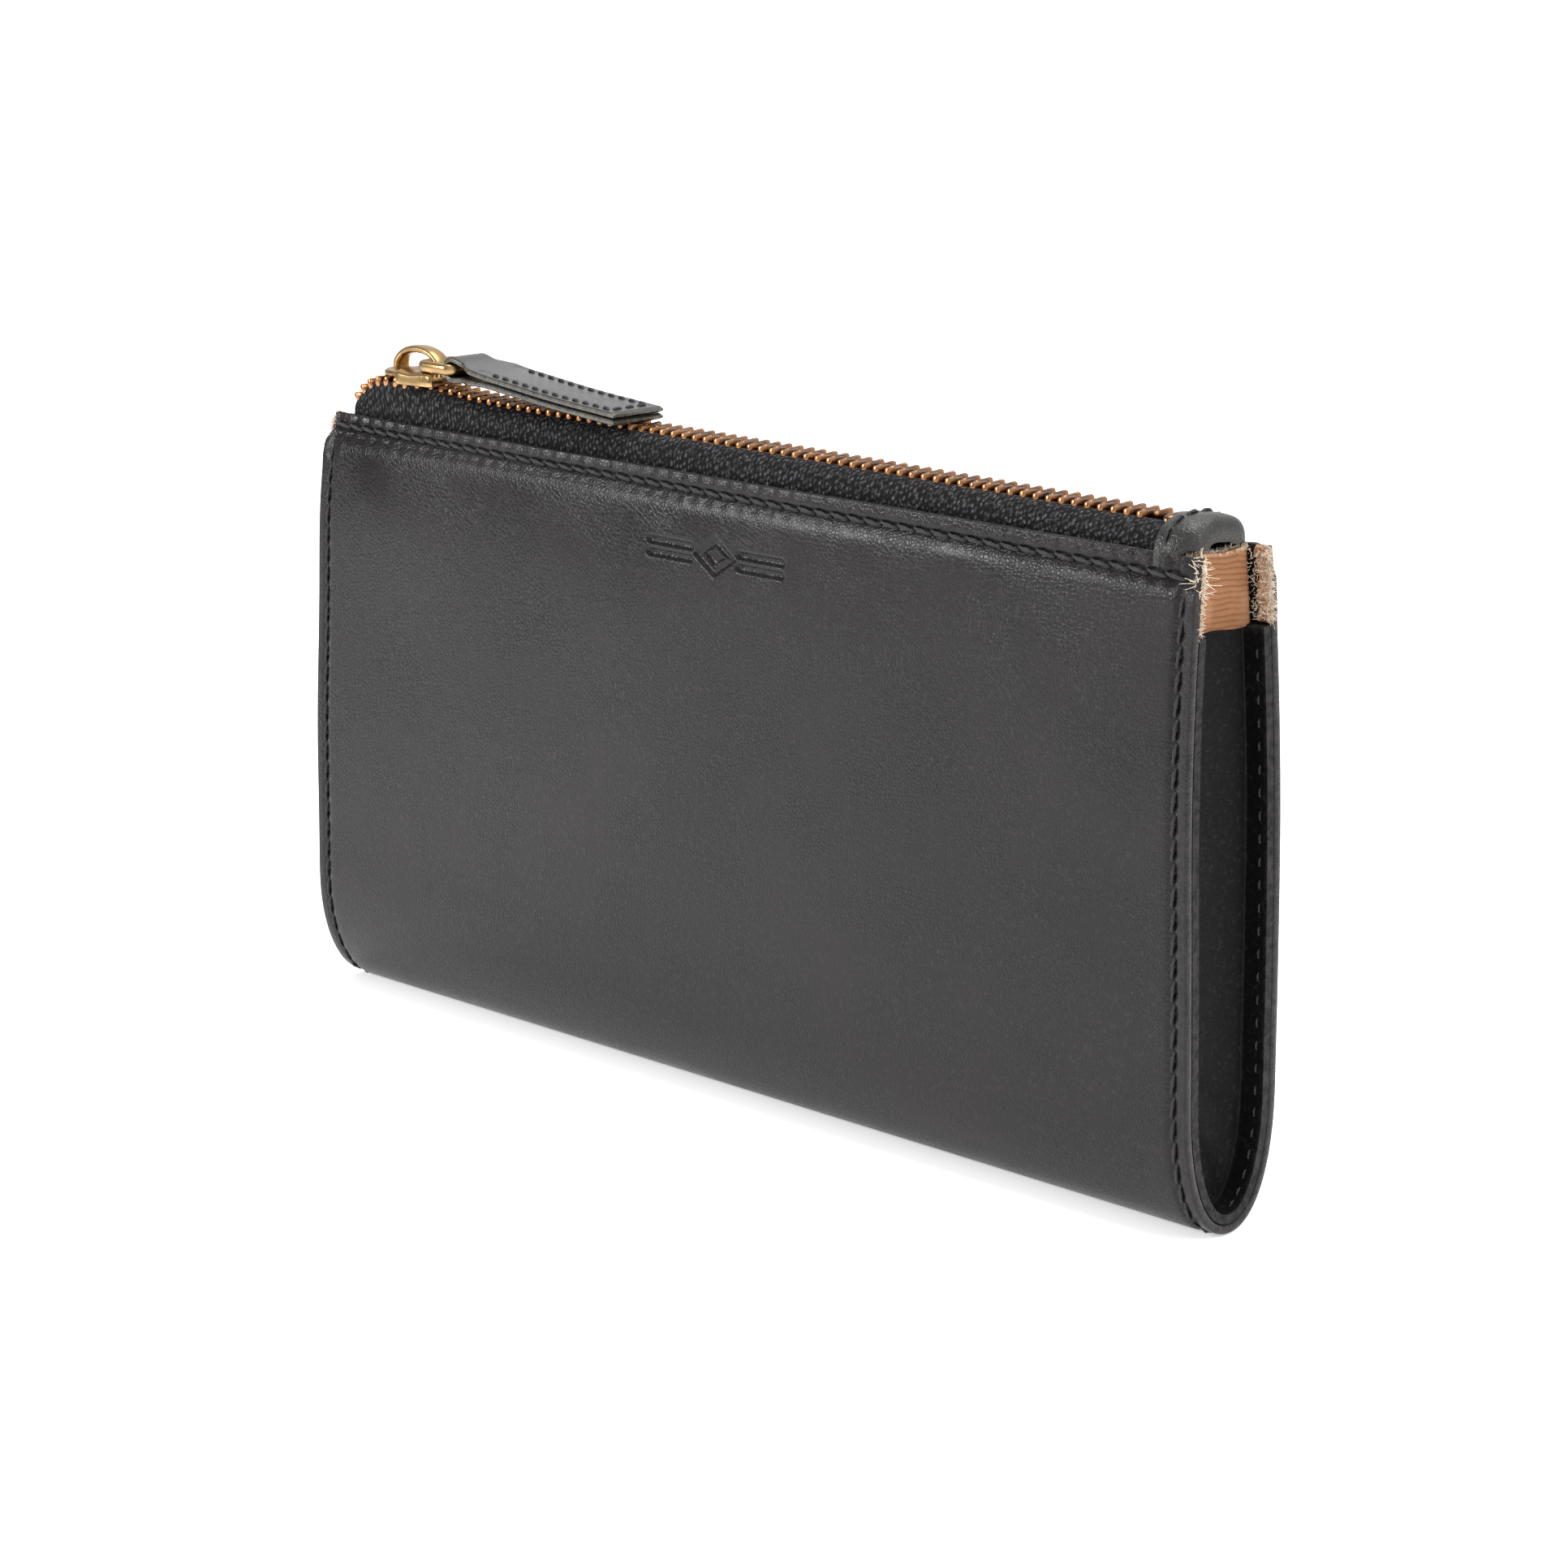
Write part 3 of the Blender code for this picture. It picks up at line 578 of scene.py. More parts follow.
def tapeMaterial():
    # black knitted tape: small slanted loops, each a bead of thread with painted glints, set in a gap
    # darkened with painted shade
    material, tree, shader, _ = startMaterial("zipTape", Specular_IOR_Level=0.22)
    flat = addNode(tree, "ShaderNodeUVMap", uv_map="metres").outputs[0]
    warp = addNode(tree, "ShaderNodeTexNoise", {"Vector": flat, "Scale": 700.0, "Detail": 2.0})
    drift = addNode(tree, "ShaderNodeVectorMath", {0: warp.outputs["Color"], "Scale": 0.0006},
                    operation="SCALE").outputs[0]
    moved = addNode(tree, "ShaderNodeVectorMath", {0: flat, 1: drift}, operation="ADD").outputs[0]
    squeezed = addNode(tree, "ShaderNodeMapping", {"Vector": moved, "Rotation": (0, 0, 0.35),
                                                   "Scale": (1.0, 0.72, 1.0)}).outputs[0]
    loops = addNode(tree, "ShaderNodeTexVoronoi", {"Vector": squeezed, "Scale": 1250.0, "Randomness": 0.6})
    bead = rampNode(tree, loops.outputs["Distance"], 0.12, 0.55, 1.0, 0.0)
    # painted glints: grey highlights painted onto the beads where this noise is high
    glint = addNode(tree, "ShaderNodeTexNoise", {"Vector": moved, "Scale": 2400.0}).outputs["Fac"]
    lit = rampNode(tree, glint, 0.42, 0.7)
    # painted shade: the gaps between the beads are nearly black
    colour = mixColour(tree, bead, sRgb(1, 1, 1), sRgb(13, 13, 14))
    colour = mixColour(tree, mathNode(tree, "MULTIPLY", bead, lit), colour, sRgb(104, 104, 110))
    tree.links.new(colour, shader.inputs["Base Color"])
    tree.links.new(rampNode(tree, bead, 0.0, 1.0, 0.85, 0.42), shader.inputs["Roughness"])
    bumpInto(tree, shader, bead, 1.0, 0.00045)
    return material


def metalMaterial(name, bright, dull, roughness, tarnish):
    # old plated metal: bright colour with dull patches, dark specks and fine scratches
    material, tree, shader, place = startMaterial(name, Metallic=1.0)
    mottle = useGroup(tree, mottleGroup, {"Vector": place, "Scale": 260.0})
    fine = addNode(tree, "ShaderNodeTexNoise", {"Vector": place, "Scale": 2600.0, "Detail": 5.0})
    rim = addNode(tree, "ShaderNodeAttribute", attribute_name="rim").outputs["Fac"]
    patch = rampNode(tree, mottle["Broad"], -0.16, 0.16, 0.35 * tarnish, tarnish)
    # where the rim mask is set the colour stays bright; on the teeth this keeps their ends at the tape bright
    # as painted light
    patch = mathNode(tree, "MULTIPLY", patch, mathNode(tree, "SUBTRACT", 1.0, rim))
    colour = mixColour(tree, patch, bright, dull)
    colour = mixColour(tree, rampNode(tree, fine.outputs["Fac"], 0.55, 0.8, 0.0, 0.5), colour, dull)
    tree.links.new(colour, shader.inputs["Base Color"])
    gloss = mathNode(tree, "MULTIPLY_ADD", mottle["Broad"], 0.5, roughness)
    tree.links.new(gloss, shader.inputs["Roughness"])
    bumpInto(tree, shader, fine.outputs["Fac"], 0.18, 0.0001)
    return material


def threadMaterial(name, dark, light):
    material, tree, shader, place = startMaterial(name, Roughness=0.6, Specular_IOR_Level=0.4)
    noise = addNode(tree, "ShaderNodeTexNoise", {"Vector": place, "Scale": 5200.0, "Detail": 2.0})
    colour = mixColour(tree, rampNode(tree, noise.outputs["Fac"], 0.35, 0.7), dark, light)
    tree.links.new(colour, shader.inputs["Base Color"])
    bumpInto(tree, shader, noise.outputs["Fac"], 0.4, 0.00008)
    return material


def boardMaterial():
    material, tree, shader, place = startMaterial("stiffenerBoard", Roughness=0.9)
    mottle = useGroup(tree, mottleGroup, {"Vector": place, "Scale": 220.0})
    tone = rampNode(tree, mottle["Broad"], -0.2, 0.2)
    colour = mixColour(tree, tone, sRgb(132, 122, 106), sRgb(164, 152, 132))
    colour = mixColour(tree, mottle["Specks"], colour, sRgb(104, 92, 76))
    tree.links.new(colour, shader.inputs["Base Color"])
    bumpInto(tree, shader, mottle["Broad"], 0.4, 0.0002)
    return material


twill, tape, board = twillMaterial(), tapeMaterial(), boardMaterial()
copper = metalMaterial("copperTeeth", sRgb(172, 122, 82), sRgb(62, 49, 42), 0.28, 0.95)
brass = metalMaterial("agedBrass", sRgb(208, 172, 118), sRgb(104, 84, 62), 0.28, 0.7)
thread = threadMaterial("blackThread", sRgb(16, 15, 17), sRgb(52, 50, 54))
paleFibre = threadMaterial("paleFibre", sRgb(196, 170, 140), sRgb(244, 236, 224))
print("stage 2: materials made")


# Stitches and the pressed mark

stitch = {"pitch": 3.4 * mm, "length": 3.75 * mm, "radius": 0.32 * mm, "rise": 0.10 * mm, "sink": 0.30 * mm,
          "slant": -9.0, "holeDent": 0.22 * mm, "groove": 0.30 * mm, "grooveWidth": 0.45 * mm}


def stitchShape(length, radius, rise, sink, slant, rings=9, size=8):
    # One stitch as a twisted two-ply tube: its middle line is an arc, rise minus a power of the distance
    # from the middle, and its section has two lobes that turn along the length.
    t = np.linspace(-1, 1, rings)[:, None]
    around = fullTurn(size)[None, :]
    lobe = radius * (0.68 + 0.40 * np.cos(around - 3.4 * t) ** 2) * (1 - 0.35 * np.abs(t) ** 4)
    angle = math.radians(slant)
    a = t * length / 2 * math.cos(angle) - math.sin(angle) * lobe * np.cos(around)
    b = t * length / 2 * math.sin(angle) + math.cos(angle) * lobe * np.cos(around)
    c = rise - (rise + sink) * np.abs(t) ** 2.8 + lobe * np.sin(around)
    return tubeSolid(np.stack([a, b, c], axis=-1))


def placeStitches(origins, along, up, shape):
    side = np.cross(up, along)
    axes = np.stack([along, side, up], axis=1)
    return repeatShape(*shape, origins, axes)


def seamOnHide(x, s):
    # frames along a seam that runs through the given places on the hide
    here = hideSurface(x, s)
    along = unit(np.gradient(here, axis=0))
    up = outwardAt(x, s)
    return here, along, up


seam = {
    "topLeft": 2.1 * mm,  # how far the top row lies under the edge at the left end
    "topRight": 3.0 * mm,
    "sideIn": 2.5 * mm,  # how far the side rows lie in from the ends
    "sideFrom": 5.4 * mm,  # where a side row starts below the top edge
}


def topSeamRun(x):
    half = wallet["halfLength"]
    return seam["topLeft"] + (seam["topRight"] - seam["topLeft"]) * (x + half) / (2 * half)


def topSeamPlaces():
    half = wallet["halfLength"] - seam["sideIn"]
    count = int(2 * half / stitch["pitch"])
    x = np.linspace(-half, half, count + 1)
    return x[:-1] + (x[1] - x[0]) / 2


def sideSeamPlaces():
    low, high = seam["sideFrom"], midRun
    count = int((high - low) / stitch["pitch"])
    return np.linspace(low, high, count + 1)


topX = topSeamPlaces()
sideS = sideSeamPlaces()
holePitch = topX[1] - topX[0]
sidePitch = sideS[1] - sideS[0]

motif = {"centreX": 2.3 * mm, "centreRun": 12.0 * mm, "halfWidth": 14.7 * mm, "halfHeight": 2.7 * mm,
         "line": 0.55 * mm, "depth": 0.6 * mm, "lozenge": 4.3 * mm}


def motifDepth(x, s):
    # blind-pressed mark: an outlined lozenge with a smaller one inside, between two short double rules
    m = motif
    a, b = np.abs(x - m["centreX"]), np.abs(s - m["centreRun"])
    diamond = a / m["lozenge"] + b / m["halfHeight"]
    outlineBand = np.abs(diamond - 0.86) * m["halfHeight"] * 0.85
    core = np.maximum(diamond - 0.3, 0) * m["halfHeight"]
    ruleEnd = np.maximum(np.maximum(m["lozenge"] + 1.2 * mm - a, a - m["halfWidth"]), 0)
    rules = np.hypot(np.abs(b - 0.95 * mm), ruleEnd)
    near = np.minimum(np.minimum(outlineBand, core), rules)
    press = 1 / (1 + np.exp((near - m["line"]) / (0.09 * mm)))
    return -m["depth"] * press


def seamDent(across, along, pitch):
    # the groove a row of stitches pulls into the leather, deeper at each hole
    groove = np.exp(-0.5 * (across / stitch["grooveWidth"]) ** 2)
    hole = np.exp(-0.5 * (across / (0.45 * mm)) ** 2) * (0.5 + 0.5 * np.cos(2 * np.pi * along / pitch)) ** 6
    return -stitch["groove"] * groove - stitch["holeDent"] * hole


def hideRelief(x, s, front):
    half = wallet["halfLength"]
    fromTop = s if front else wholeRun - s
    top = seamDent(fromTop - topSeamRun(x), x - topX[0] + holePitch / 2, holePitch)
    top = top * np.clip((half - np.abs(x)) / (2 * mm), 0, 1)
    fade = np.clip((fromTop - 3 * mm) / (2 * mm), 0, 1)
    sides = seamDent(half - np.abs(x) - seam["sideIn"], fromTop - sideS[0] + sidePitch / 2, sidePitch) * fade
    # both bands outside the stitches are pressed down, with a smooth step up to the soft middle
    ends = (x / half) ** 6
    lumps = 1 + 0.35 * np.cos(2 * np.pi * (x - topX[0]) / holePitch + 0.9) * (0.5 + ends)
    step = 1 / (1 + np.exp((fromTop - 4.4 * mm) / (0.38 * mm)))
    sideStep = 1 / (1 + np.exp((half - np.abs(x) - seam["sideIn"] - 0.7 * mm) / (0.3 * mm)))
    puff = 0.16 * mm * np.exp(-0.5 * ((fromTop - 6.5 * mm) / (2.2 * mm)) ** 2) * (0.6 + 0.9 * ends)
    creased = ends * np.exp(-((fromTop - 7 * mm) / (3 * mm)) ** 2)
    creases = 0.05 * mm * creased * np.sin(x / (0.35 * mm) + fromTop / (0.8 * mm))
    pressed = np.maximum((0.40 + 0.40 * ends) * mm * step * lumps, 0.22 * mm * sideStep)
    relief = top + sides + puff + creases - pressed
    if front:
        relief = relief + motifDepth(x, s)
    return relief


# Hide panels

half = wallet["halfLength"]
lip = 0.6 * mm
# finest at the cut edges, the seams and the pressed mark
frontXs = stepped([(-half, 0.12 * mm), (-half + lip, 0.35 * mm), (-half + 4 * mm, 0.68 * mm),
                   (-13.6 * mm, 0.26 * mm), (18.2 * mm, 0.64 * mm), (wallet["openFrom"], 0.7 * mm),
                   (half - 4 * mm, 0.33 * mm), (half - lip, 0.12 * mm), (half, 1)])
frontSs = stepped([(0, 0.12 * mm), (lip, 0.33 * mm), (4.6 * mm, 0.6 * mm), (8.9 * mm, 0.26 * mm),
                   (15.1 * mm, 0.8 * mm), (foldRun, 1)])
panelPiece("hideFront", frontXs, layerGrid(frontXs, frontSs, 0.0, wallet["hide"],
                                                       relief=lambda x, s: hideRelief(x, s, True),
                                                       fold="front", band=0.42),
                       hide, True, "shell_front")

backXs = stepped([(-half, 0.12 * mm), (-half + lip, 0.4 * mm), (-half + 4 * mm, 0.85 * mm),
                  (half - 4 * mm, 0.4 * mm), (half - lip, 0.12 * mm), (half, 1)])
backSs = stepped([(foldRun, 0.9 * mm), (wholeRun - 4.6 * mm, 0.4 * mm), (wholeRun - lip, 0.12 * mm),
                  (wholeRun, 1)])
panelPiece("hideBack", backXs, layerGrid(backXs, backSs, 0.0, wallet["hide"],
                                                    relief=lambda x, s: hideRelief(x, s, False),
                                                    fold="back", band=0.42),
                      hide, False, "shell_back")

seamShape = stitchShape(stitch["length"], stitch["radius"], stitch["rise"], stitch["sink"], stitch["slant"])


def addSeam(name, places, pieces):
    # a row of stitches; at the front it is split where the two halves of the panel meet
    here, along, up = places
    here = here - up * stitch["groove"]
    for label, keep in pieces:
        if not keep.any():
            continue
        points, quads = placeStitches(here[keep], along[keep], up[keep], seamShape)
        piece = newPiece(name + label, points, quads, thread, sharp=70)
        if label in ("Left", "Right"):
            bendWithMouth(piece)
        else:
            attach(piece, "back_body")


splitX = wallet["openFrom"]
addSeam("topStitchesFront", seamOnHide(topX, topSeamRun(topX)),
        [("Left", topX < splitX), ("Right", topX >= splitX)])
backTopX = topX[::-1]
addSeam("topStitchesBack", seamOnHide(backTopX, wholeRun - topSeamRun(backTopX)),
        [("", np.full(len(topX), True))])
sideMiddles = sideS[:-1] + sidePitch / 2
for endName, endX in (("Left", -half + seam["sideIn"]), ("Right", half - seam["sideIn"])):
    onFront = sideMiddles < foldRun - 1 * mm
    places = seamOnHide(np.full_like(sideMiddles, endX), sideMiddles)
    addSeam("sideStitches" + endName, places, [(endName, onFront)])
    backRun = np.concatenate([sideMiddles[~onFront], wholeRun - sideMiddles[::-1]])
    places = seamOnHide(np.full_like(backRun, endX), backRun)
    addSeam("sideStitchesBack" + endName, places, [("", np.full(len(backRun), True))])
print("stage 3: hide and stitches made")


# Gussets and their linings: U-shaped channels across both ends

gusset = {"depth": 1.72 * mm, "wall": 1.4 * mm, "webX": 91.9 * mm, "top": 88.4 * mm, "bend": 1.5 * mm,
          "pleat": 1.2 * mm}
channelLining = {"depth": 2.3 * mm, "wall": 0.5 * mm, "webX": 93.6 * mm, "top": 99.3 * mm, "low": 88.0 * mm,
                 "bend": 0.5 * mm, "rimX": 93.9 * mm}
liningStrip = {"depth": 1.5 * mm, "thick": 0.6 * mm, "from": 95.2 * mm, "to": 97.2 * mm, "low": 88.6 * mm,
               "top": 99.7 * mm}


def channelGrid(side, depth, webX, rimX, bend, pleat, ss):
    # Across the channel: along the front flange from the rim, round a quarter circle, over the web, which is
    # pleated inwards as 1 - w squared, and out along the back flange. Down the channel: the run ss.
    lengthwise = np.linspace(0, 1, 7)
    quarter = np.linspace(0, np.pi / 2, 5)[1:]
    w = np.linspace(-1, 1, 15)[1:-1]
    s = np.asarray(ss)[:, None]
    x, deep = np.full_like(s, side * webX), np.full_like(s, depth)
    front, back = layerPoint(x, s, deep)[..., 1], layerPoint(x, wholeRun - s, deep)[..., 1]
    middle, width = (front + back) / 2, (back - front) / 2
    turn = np.minimum(bend, 0.9 * width)
    flangeX = rimX + (webX + turn - rimX) * lengthwise[None, :]
    flange = layerPoint(side * flangeX, s + 0 * flangeX, depth + 0 * flangeX)
    behind = layerPoint(side * flangeX, wholeRun - s + 0 * flangeX, depth + 0 * flangeX)
    height = flange[:, -1:, 2]
    cornerX = webX + turn * (1 - np.sin(quarter))
    cornerY = width - turn * (1 - np.cos(quarter))
    folds = np.exp(-((height - 12 * mm) / (9 * mm)) ** 2) * np.sin(height / (1.7 * mm) + 2.5 * w)
    webAt = webX - pleat * (1 - w ** 2) * np.clip(width / (8 * mm), 0, 1) - 0.45 * mm * folds * (1 - w ** 2)
    lift = 0.35 * mm * np.sin(3.0 * w + height / (6 * mm)) * (1 - w ** 2)

    def row(x, y, z):
        return np.stack(np.broadcast_arrays(side * x, y, z), axis=-1)

    web = row(webAt, middle + (width - turn) * w, height + lift * np.clip(width / (8 * mm), 0, 1))
    return np.concatenate([flange, row(cornerX, middle - cornerY, height), web,
                           row(cornerX, middle + cornerY, height)[:, ::-1], behind[:, ::-1]], axis=1)


def addChannel(name, side, look, ss, pleat, material, node, endOpen):
    rimX = look.get("rimX", half - 0.15 * mm)
    turn = look["bend"]
    outer = channelGrid(side, look["depth"], look["webX"], rimX, turn, pleat, ss)
    inner = channelGrid(side, look["depth"] + look["wall"], look["webX"] + look["wall"], rimX,
                        max(turn - look["wall"], 0.3 * mm), pleat, ss)
    points, quads = solidGrid(outer, inner, highOpen=endOpen)
    rows, cols = outer.shape[:2]
    rim = np.zeros((rows, cols))
    rim[:, [0, -1]] = 1.0
    rim[0] = 1.0
    piece = newPiece(name, points, quads, material, rim=np.tile(rim.ravel(), 2), merge=0.01 * mm)
    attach(piece, "back_body")
    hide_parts(node)


gussetSs = np.append(stepped([(float(runAtHeight(gusset["top"])), 1.2 * mm), (midRun - 12 * mm, 0.7 * mm),
                              (midRun - 0.5 * mm, 1)]), midRun)
liningSs = stepped([(float(runAtHeight(channelLining["top"])), 0.6 * mm),
                    (float(runAtHeight(channelLining["low"])), 1)])
for side, end in ((-1, "left"), (1, "right")):
    addChannel("gusset" + end.capitalize(), side, gusset, gussetSs, gusset["pleat"], gussetShadedLeather,
               "gusset_" + end, True)
    addChannel("gussetLining" + end.capitalize(), side, channelLining, liningSs, 0.4 * mm, twill,
               "gusset_lining_" + end, False)

innerSeam = {"in": 1.5 * mm, "depth": 3.25 * mm}


def addLiningStrip(name, side):
    # the lining's turned edge on the back flange: a thick fuzzy strip with a ragged inner edge
    k = liningStrip
    xs = np.linspace(k["from"], k["to"], 16)
    low, high = float(runAtHeight(k["low"], 1)), float(runAtHeight(k["top"], 1))
    ss = np.linspace(low, high, 60)
    x, s = np.meshgrid(xs, ss, indexing="ij")
    part = (x - k["from"]) / (k["to"] - k["from"])
    ragged = 0.35 * np.sin(s / (0.9 * mm)) + 0.25 * np.sin(s / (0.37 * mm) + 1) + 0.3 * np.sin(s / (2.3 * mm))
    x = x + ragged * mm * (1 - part) * 0.8
    edge = np.minimum(np.minimum(part, 1 - part) * (k["to"] - k["from"]), np.minimum(s - ss[0], ss[-1] - s))
    near = np.clip(edge / (0.6 * mm), 0, 1)
    swell = 1 + 0.25 * np.sin(s / (1.3 * mm) + 4 * part) + 0.15 * np.sin(s / (0.5 * mm) - 6 * part)
    thick = k["thick"] * (0.35 + 0.65 * roundOff(near)) * swell
    place, out = hideSurface(side * x, s), outwardAt(side * x, s)
    outer = place - out * k["depth"]
    inner = place - out * (k["depth"] + thick)[..., None]
    rim = np.full(x.shape, 0.5)
    points, quads = solidGrid(outer, inner)
    piece = newPiece(name, points, quads, twill, rim=np.tile(rim.ravel(), 2))
    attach(piece, "back_body")


for side, end in ((-1, "Left"), (1, "Right")):
    addLiningStrip("liningStrip" + end, side)


def addInnerSeam(name, side, front):
    # the second row, seen inside the end channel on the flange
    runs = np.arange(float(runAtHeight(gusset["top"] - 4 * mm)), midRun - 4 * mm, stitch["pitch"])
    runs = runs if front else wholeRun - runs
    x = np.full_like(runs, side * (half - innerSeam["in"]))
    here = layerPoint(x, runs, np.full_like(runs, innerSeam["depth"]))
    along = unit(np.gradient(here, axis=0))
    shape = stitchShape(1.7 * mm, 0.20 * mm, 0.02 * mm, 0.4 * mm, 0)
    points, quads = placeStitches(here, along, -outwardAt(x, runs), shape)
    piece = newPiece(name, points, quads, thread, sharp=70)
    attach(piece, "back_body")


for side, end in ((-1, "Left"), (1, "Right")):
    addInnerSeam("innerStitchesBack" + end, side, False)
    addInnerSeam("innerStitchesFront" + end, side, True)
print("stage 4: gussets made")


# Linings, boards and pockets inside

inside = {"end": 90 * mm, "boardDepth": 1.9 * mm, "board": 0.6 * mm, "boardLow": 24 * mm,
          "boardTop": 87.6 * mm, "liningDepth": 2.8 * mm, "lining": 0.6 * mm, "liningTop": 98.5 * mm,
          "pocketDepth": 3.7 * mm,
          "pocketEnd": 86 * mm, "pocket": 0.7 * mm, "gap": 0.3 * mm, "pocketLow": 24 * mm}


def runBetween(top, low, front, step=1.2 * mm):
    a, b = float(runAtHeight(top)), float(runAtHeight(low))
    marks = [(a, 0.2 * mm), (a + 0.6 * mm, step), (b - 0.6 * mm, 0.2 * mm), (b, 1)]
    runs = stepped(marks)
    return runs if front else wholeRun - runs[::-1]


def insideXs(end, step=1.5 * mm):
    return np.unique(np.round(stepped([(-end, 0.2 * mm), (-end + 0.6 * mm, step), (wallet["openFrom"], step),
                                       (end - 0.6 * mm, 0.2 * mm), (end, 1)]), 9))


liningXs = insideXs(inside["end"])
frontLiningS = stepped([(float(runAtHeight(inside["liningTop"])), 1.2 * mm), (midRun - 7 * mm, 1)])
backLiningS = stepped([(midRun - 3 * mm, 1.2 * mm), (wholeRun - float(runAtHeight(inside["liningTop"])), 1)])
for label, runs, front in (("Front", frontLiningS, True), ("Back", backLiningS, False)):
    layer = layerGrid(liningXs, runs, inside["liningDepth"], inside["lining"], endX=inside["end"],
                      radius=0.3 * mm)
    panelPiece("lining" + label, liningXs, layer, twill, front, "lining_" + label.lower())
    boardS = runBetween(inside["boardTop"], inside["boardLow"], front, 3 * mm)
    layer = layerGrid(liningXs, boardS, inside["boardDepth"], inside["board"], endX=inside["end"],
                      radius=0.2 * mm)
    panelPiece("board" + label, liningXs, layer, board, front, "board_" + label.lower())

pocketXs = insideXs(inside["pocketEnd"])
pocketTops = {"card_backing": 84 * mm, "card_pocket_top": 78 * mm, "card_pocket_middle": 67 * mm,
              "card_pocket_bottom": 56 * mm}
pocketDepth = inside["pocketDepth"]
for node, top in pocketTops.items():
    runs = runBetween(top, inside["pocketLow"], False)
    layer = layerGrid(pocketXs, runs, pocketDepth, inside["pocket"], endX=inside["pocketEnd"],
                      radius=0.35 * mm)
    name = "".join(word.capitalize() for word in node.split("_"))
    panelPiece(name[0].lower() + name[1:], pocketXs, layer, innerLeather, False, node)
    pocketDepth += inside["pocket"] + inside["gap"]
slipRuns = runBetween(70 * mm, inside["pocketLow"], True)
layer = layerGrid(pocketXs, slipRuns, inside["pocketDepth"], inside["pocket"], endX=inside["pocketEnd"],
                  radius=0.35 * mm)
panelPiece("slipPocket", pocketXs, layer, innerLeather, True, "slip_pocket_front")


def addDivider():
    # loose middle leaf: a flat sheet of leather with rounded lips and a slow wave
    low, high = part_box("centre_divider")
    x, z = np.meshgrid(insideXs(high.x), np.linspace(low.z, high.z, 60), indexing="ij")
    middle = (low.y + high.y) / 2 + 0.25 * mm * np.sin(x / (19 * mm)) * z / high.z
    edge = np.minimum(np.minimum(high.x - np.abs(x), high.z - z), z - low.z)
    near = np.clip(edge / (0.35 * mm), 0, 1)
    thick = (high.y - low.y) / 2 * (0.4 + 0.6 * roundOff(near))
    points, quads = solidGrid(np.stack([x, middle - thick, z], -1), np.stack([x, middle + thick, z], -1))
    piece = newPiece("centreDivider", points, quads, innerLeather, rim=np.tile(1 - near.ravel(), 2))
    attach(piece, "back_body")
    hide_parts("centre_divider")


addDivider()
print("stage 5: inside made")


# Zip chain

chain = {
    "height": 103.48 * mm, "slope": -0.0082, "pitch": 2.47 * mm, "turnX": -83.5 * mm, "turnRadius": 12.0 * mm,
    "left": -92.9 * mm, "right": 86.3 * mm, "meshFrom": -72 * mm, "openAt": -78 * mm, "spread": 1.6 * mm,
    "lift": 1.4 * mm, "liftAt": -80 * mm, "liftWidth": 14 * mm, "endSpread": 0.5 * mm,
    "toothWide": 1.1 * mm, "toothTall": 1.75 * mm, "toothLift": 0.25 * mm, "toothOut": 2.75 * mm,
    "toothTip": 0.9 * mm, "tapeStart": 2.1 * mm, "shoulder": 4.9 * mm, "tapeThick": 0.6 * mm,
    "tapeLow": 88.3 * mm, "tapeRight": 88.6 * mm, "tapeDepth": 1.7 * mm,
}


def chainPath(u):
    # Slightly falling to the right with a soft rise where the slider holds it; left of the turn it follows
    # a circle downwards.
    c = chain
    past = np.maximum(c["turnX"] - u, 0) / c["turnRadius"]
    x = np.maximum(u, c["turnX"]) - c["turnRadius"] * np.sin(past)
    z = c["height"] + c["slope"] * np.maximum(u, c["turnX"]) - c["turnRadius"] * (1 - np.cos(past))
    z = z + c["lift"] * np.exp(-((np.maximum(u, c["turnX"]) - c["liftAt"]) / c["liftWidth"]) ** 2)
    return x, z, past


def rowSpread(u):
    c = chain
    opened = np.clip((c["meshFrom"] - u) / (c["meshFrom"] - c["openAt"]), 0, 1)
    opened = opened * opened * (3 - 2 * opened)
    closing = np.clip((c["turnX"] - u) / (c["turnX"] - c["left"]), 0, 1)
    return c["spread"] * opened - (c["spread"] - c["endSpread"]) * closing


def toothShape():
    # one tooth along its own length: a rounded bar, thick at the tape, drawn in and rounded at the tip
    c = chain
    ys = np.array([c["toothOut"], c["toothOut"] - 0.15 * mm, 1.9 * mm, 1.3 * mm, 0.2 * mm, -0.5 * mm,
                   -c["toothTip"]])
    wide = np.array([0.70, 1.0, 1.0, 0.86, 0.86, 0.95, 0.5]) * c["toothWide"] / 2
    tall = np.array([0.72, 1.0, 1.0, 0.92, 0.90, 0.86, 0.5]) * c["toothTall"] / 2
    around = fullTurn(10) + np.pi / 10
    squareX = blunt(np.cos(around), 0.55)
    squareZ = blunt(np.sin(around), 0.8)
    height = tall[:, None] * squareZ + c["toothLift"]
    rings = np.stack(np.broadcast_arrays(wide[:, None] * squareX, ys[:, None], height), axis=-1)
    return tubeSolid(rings)


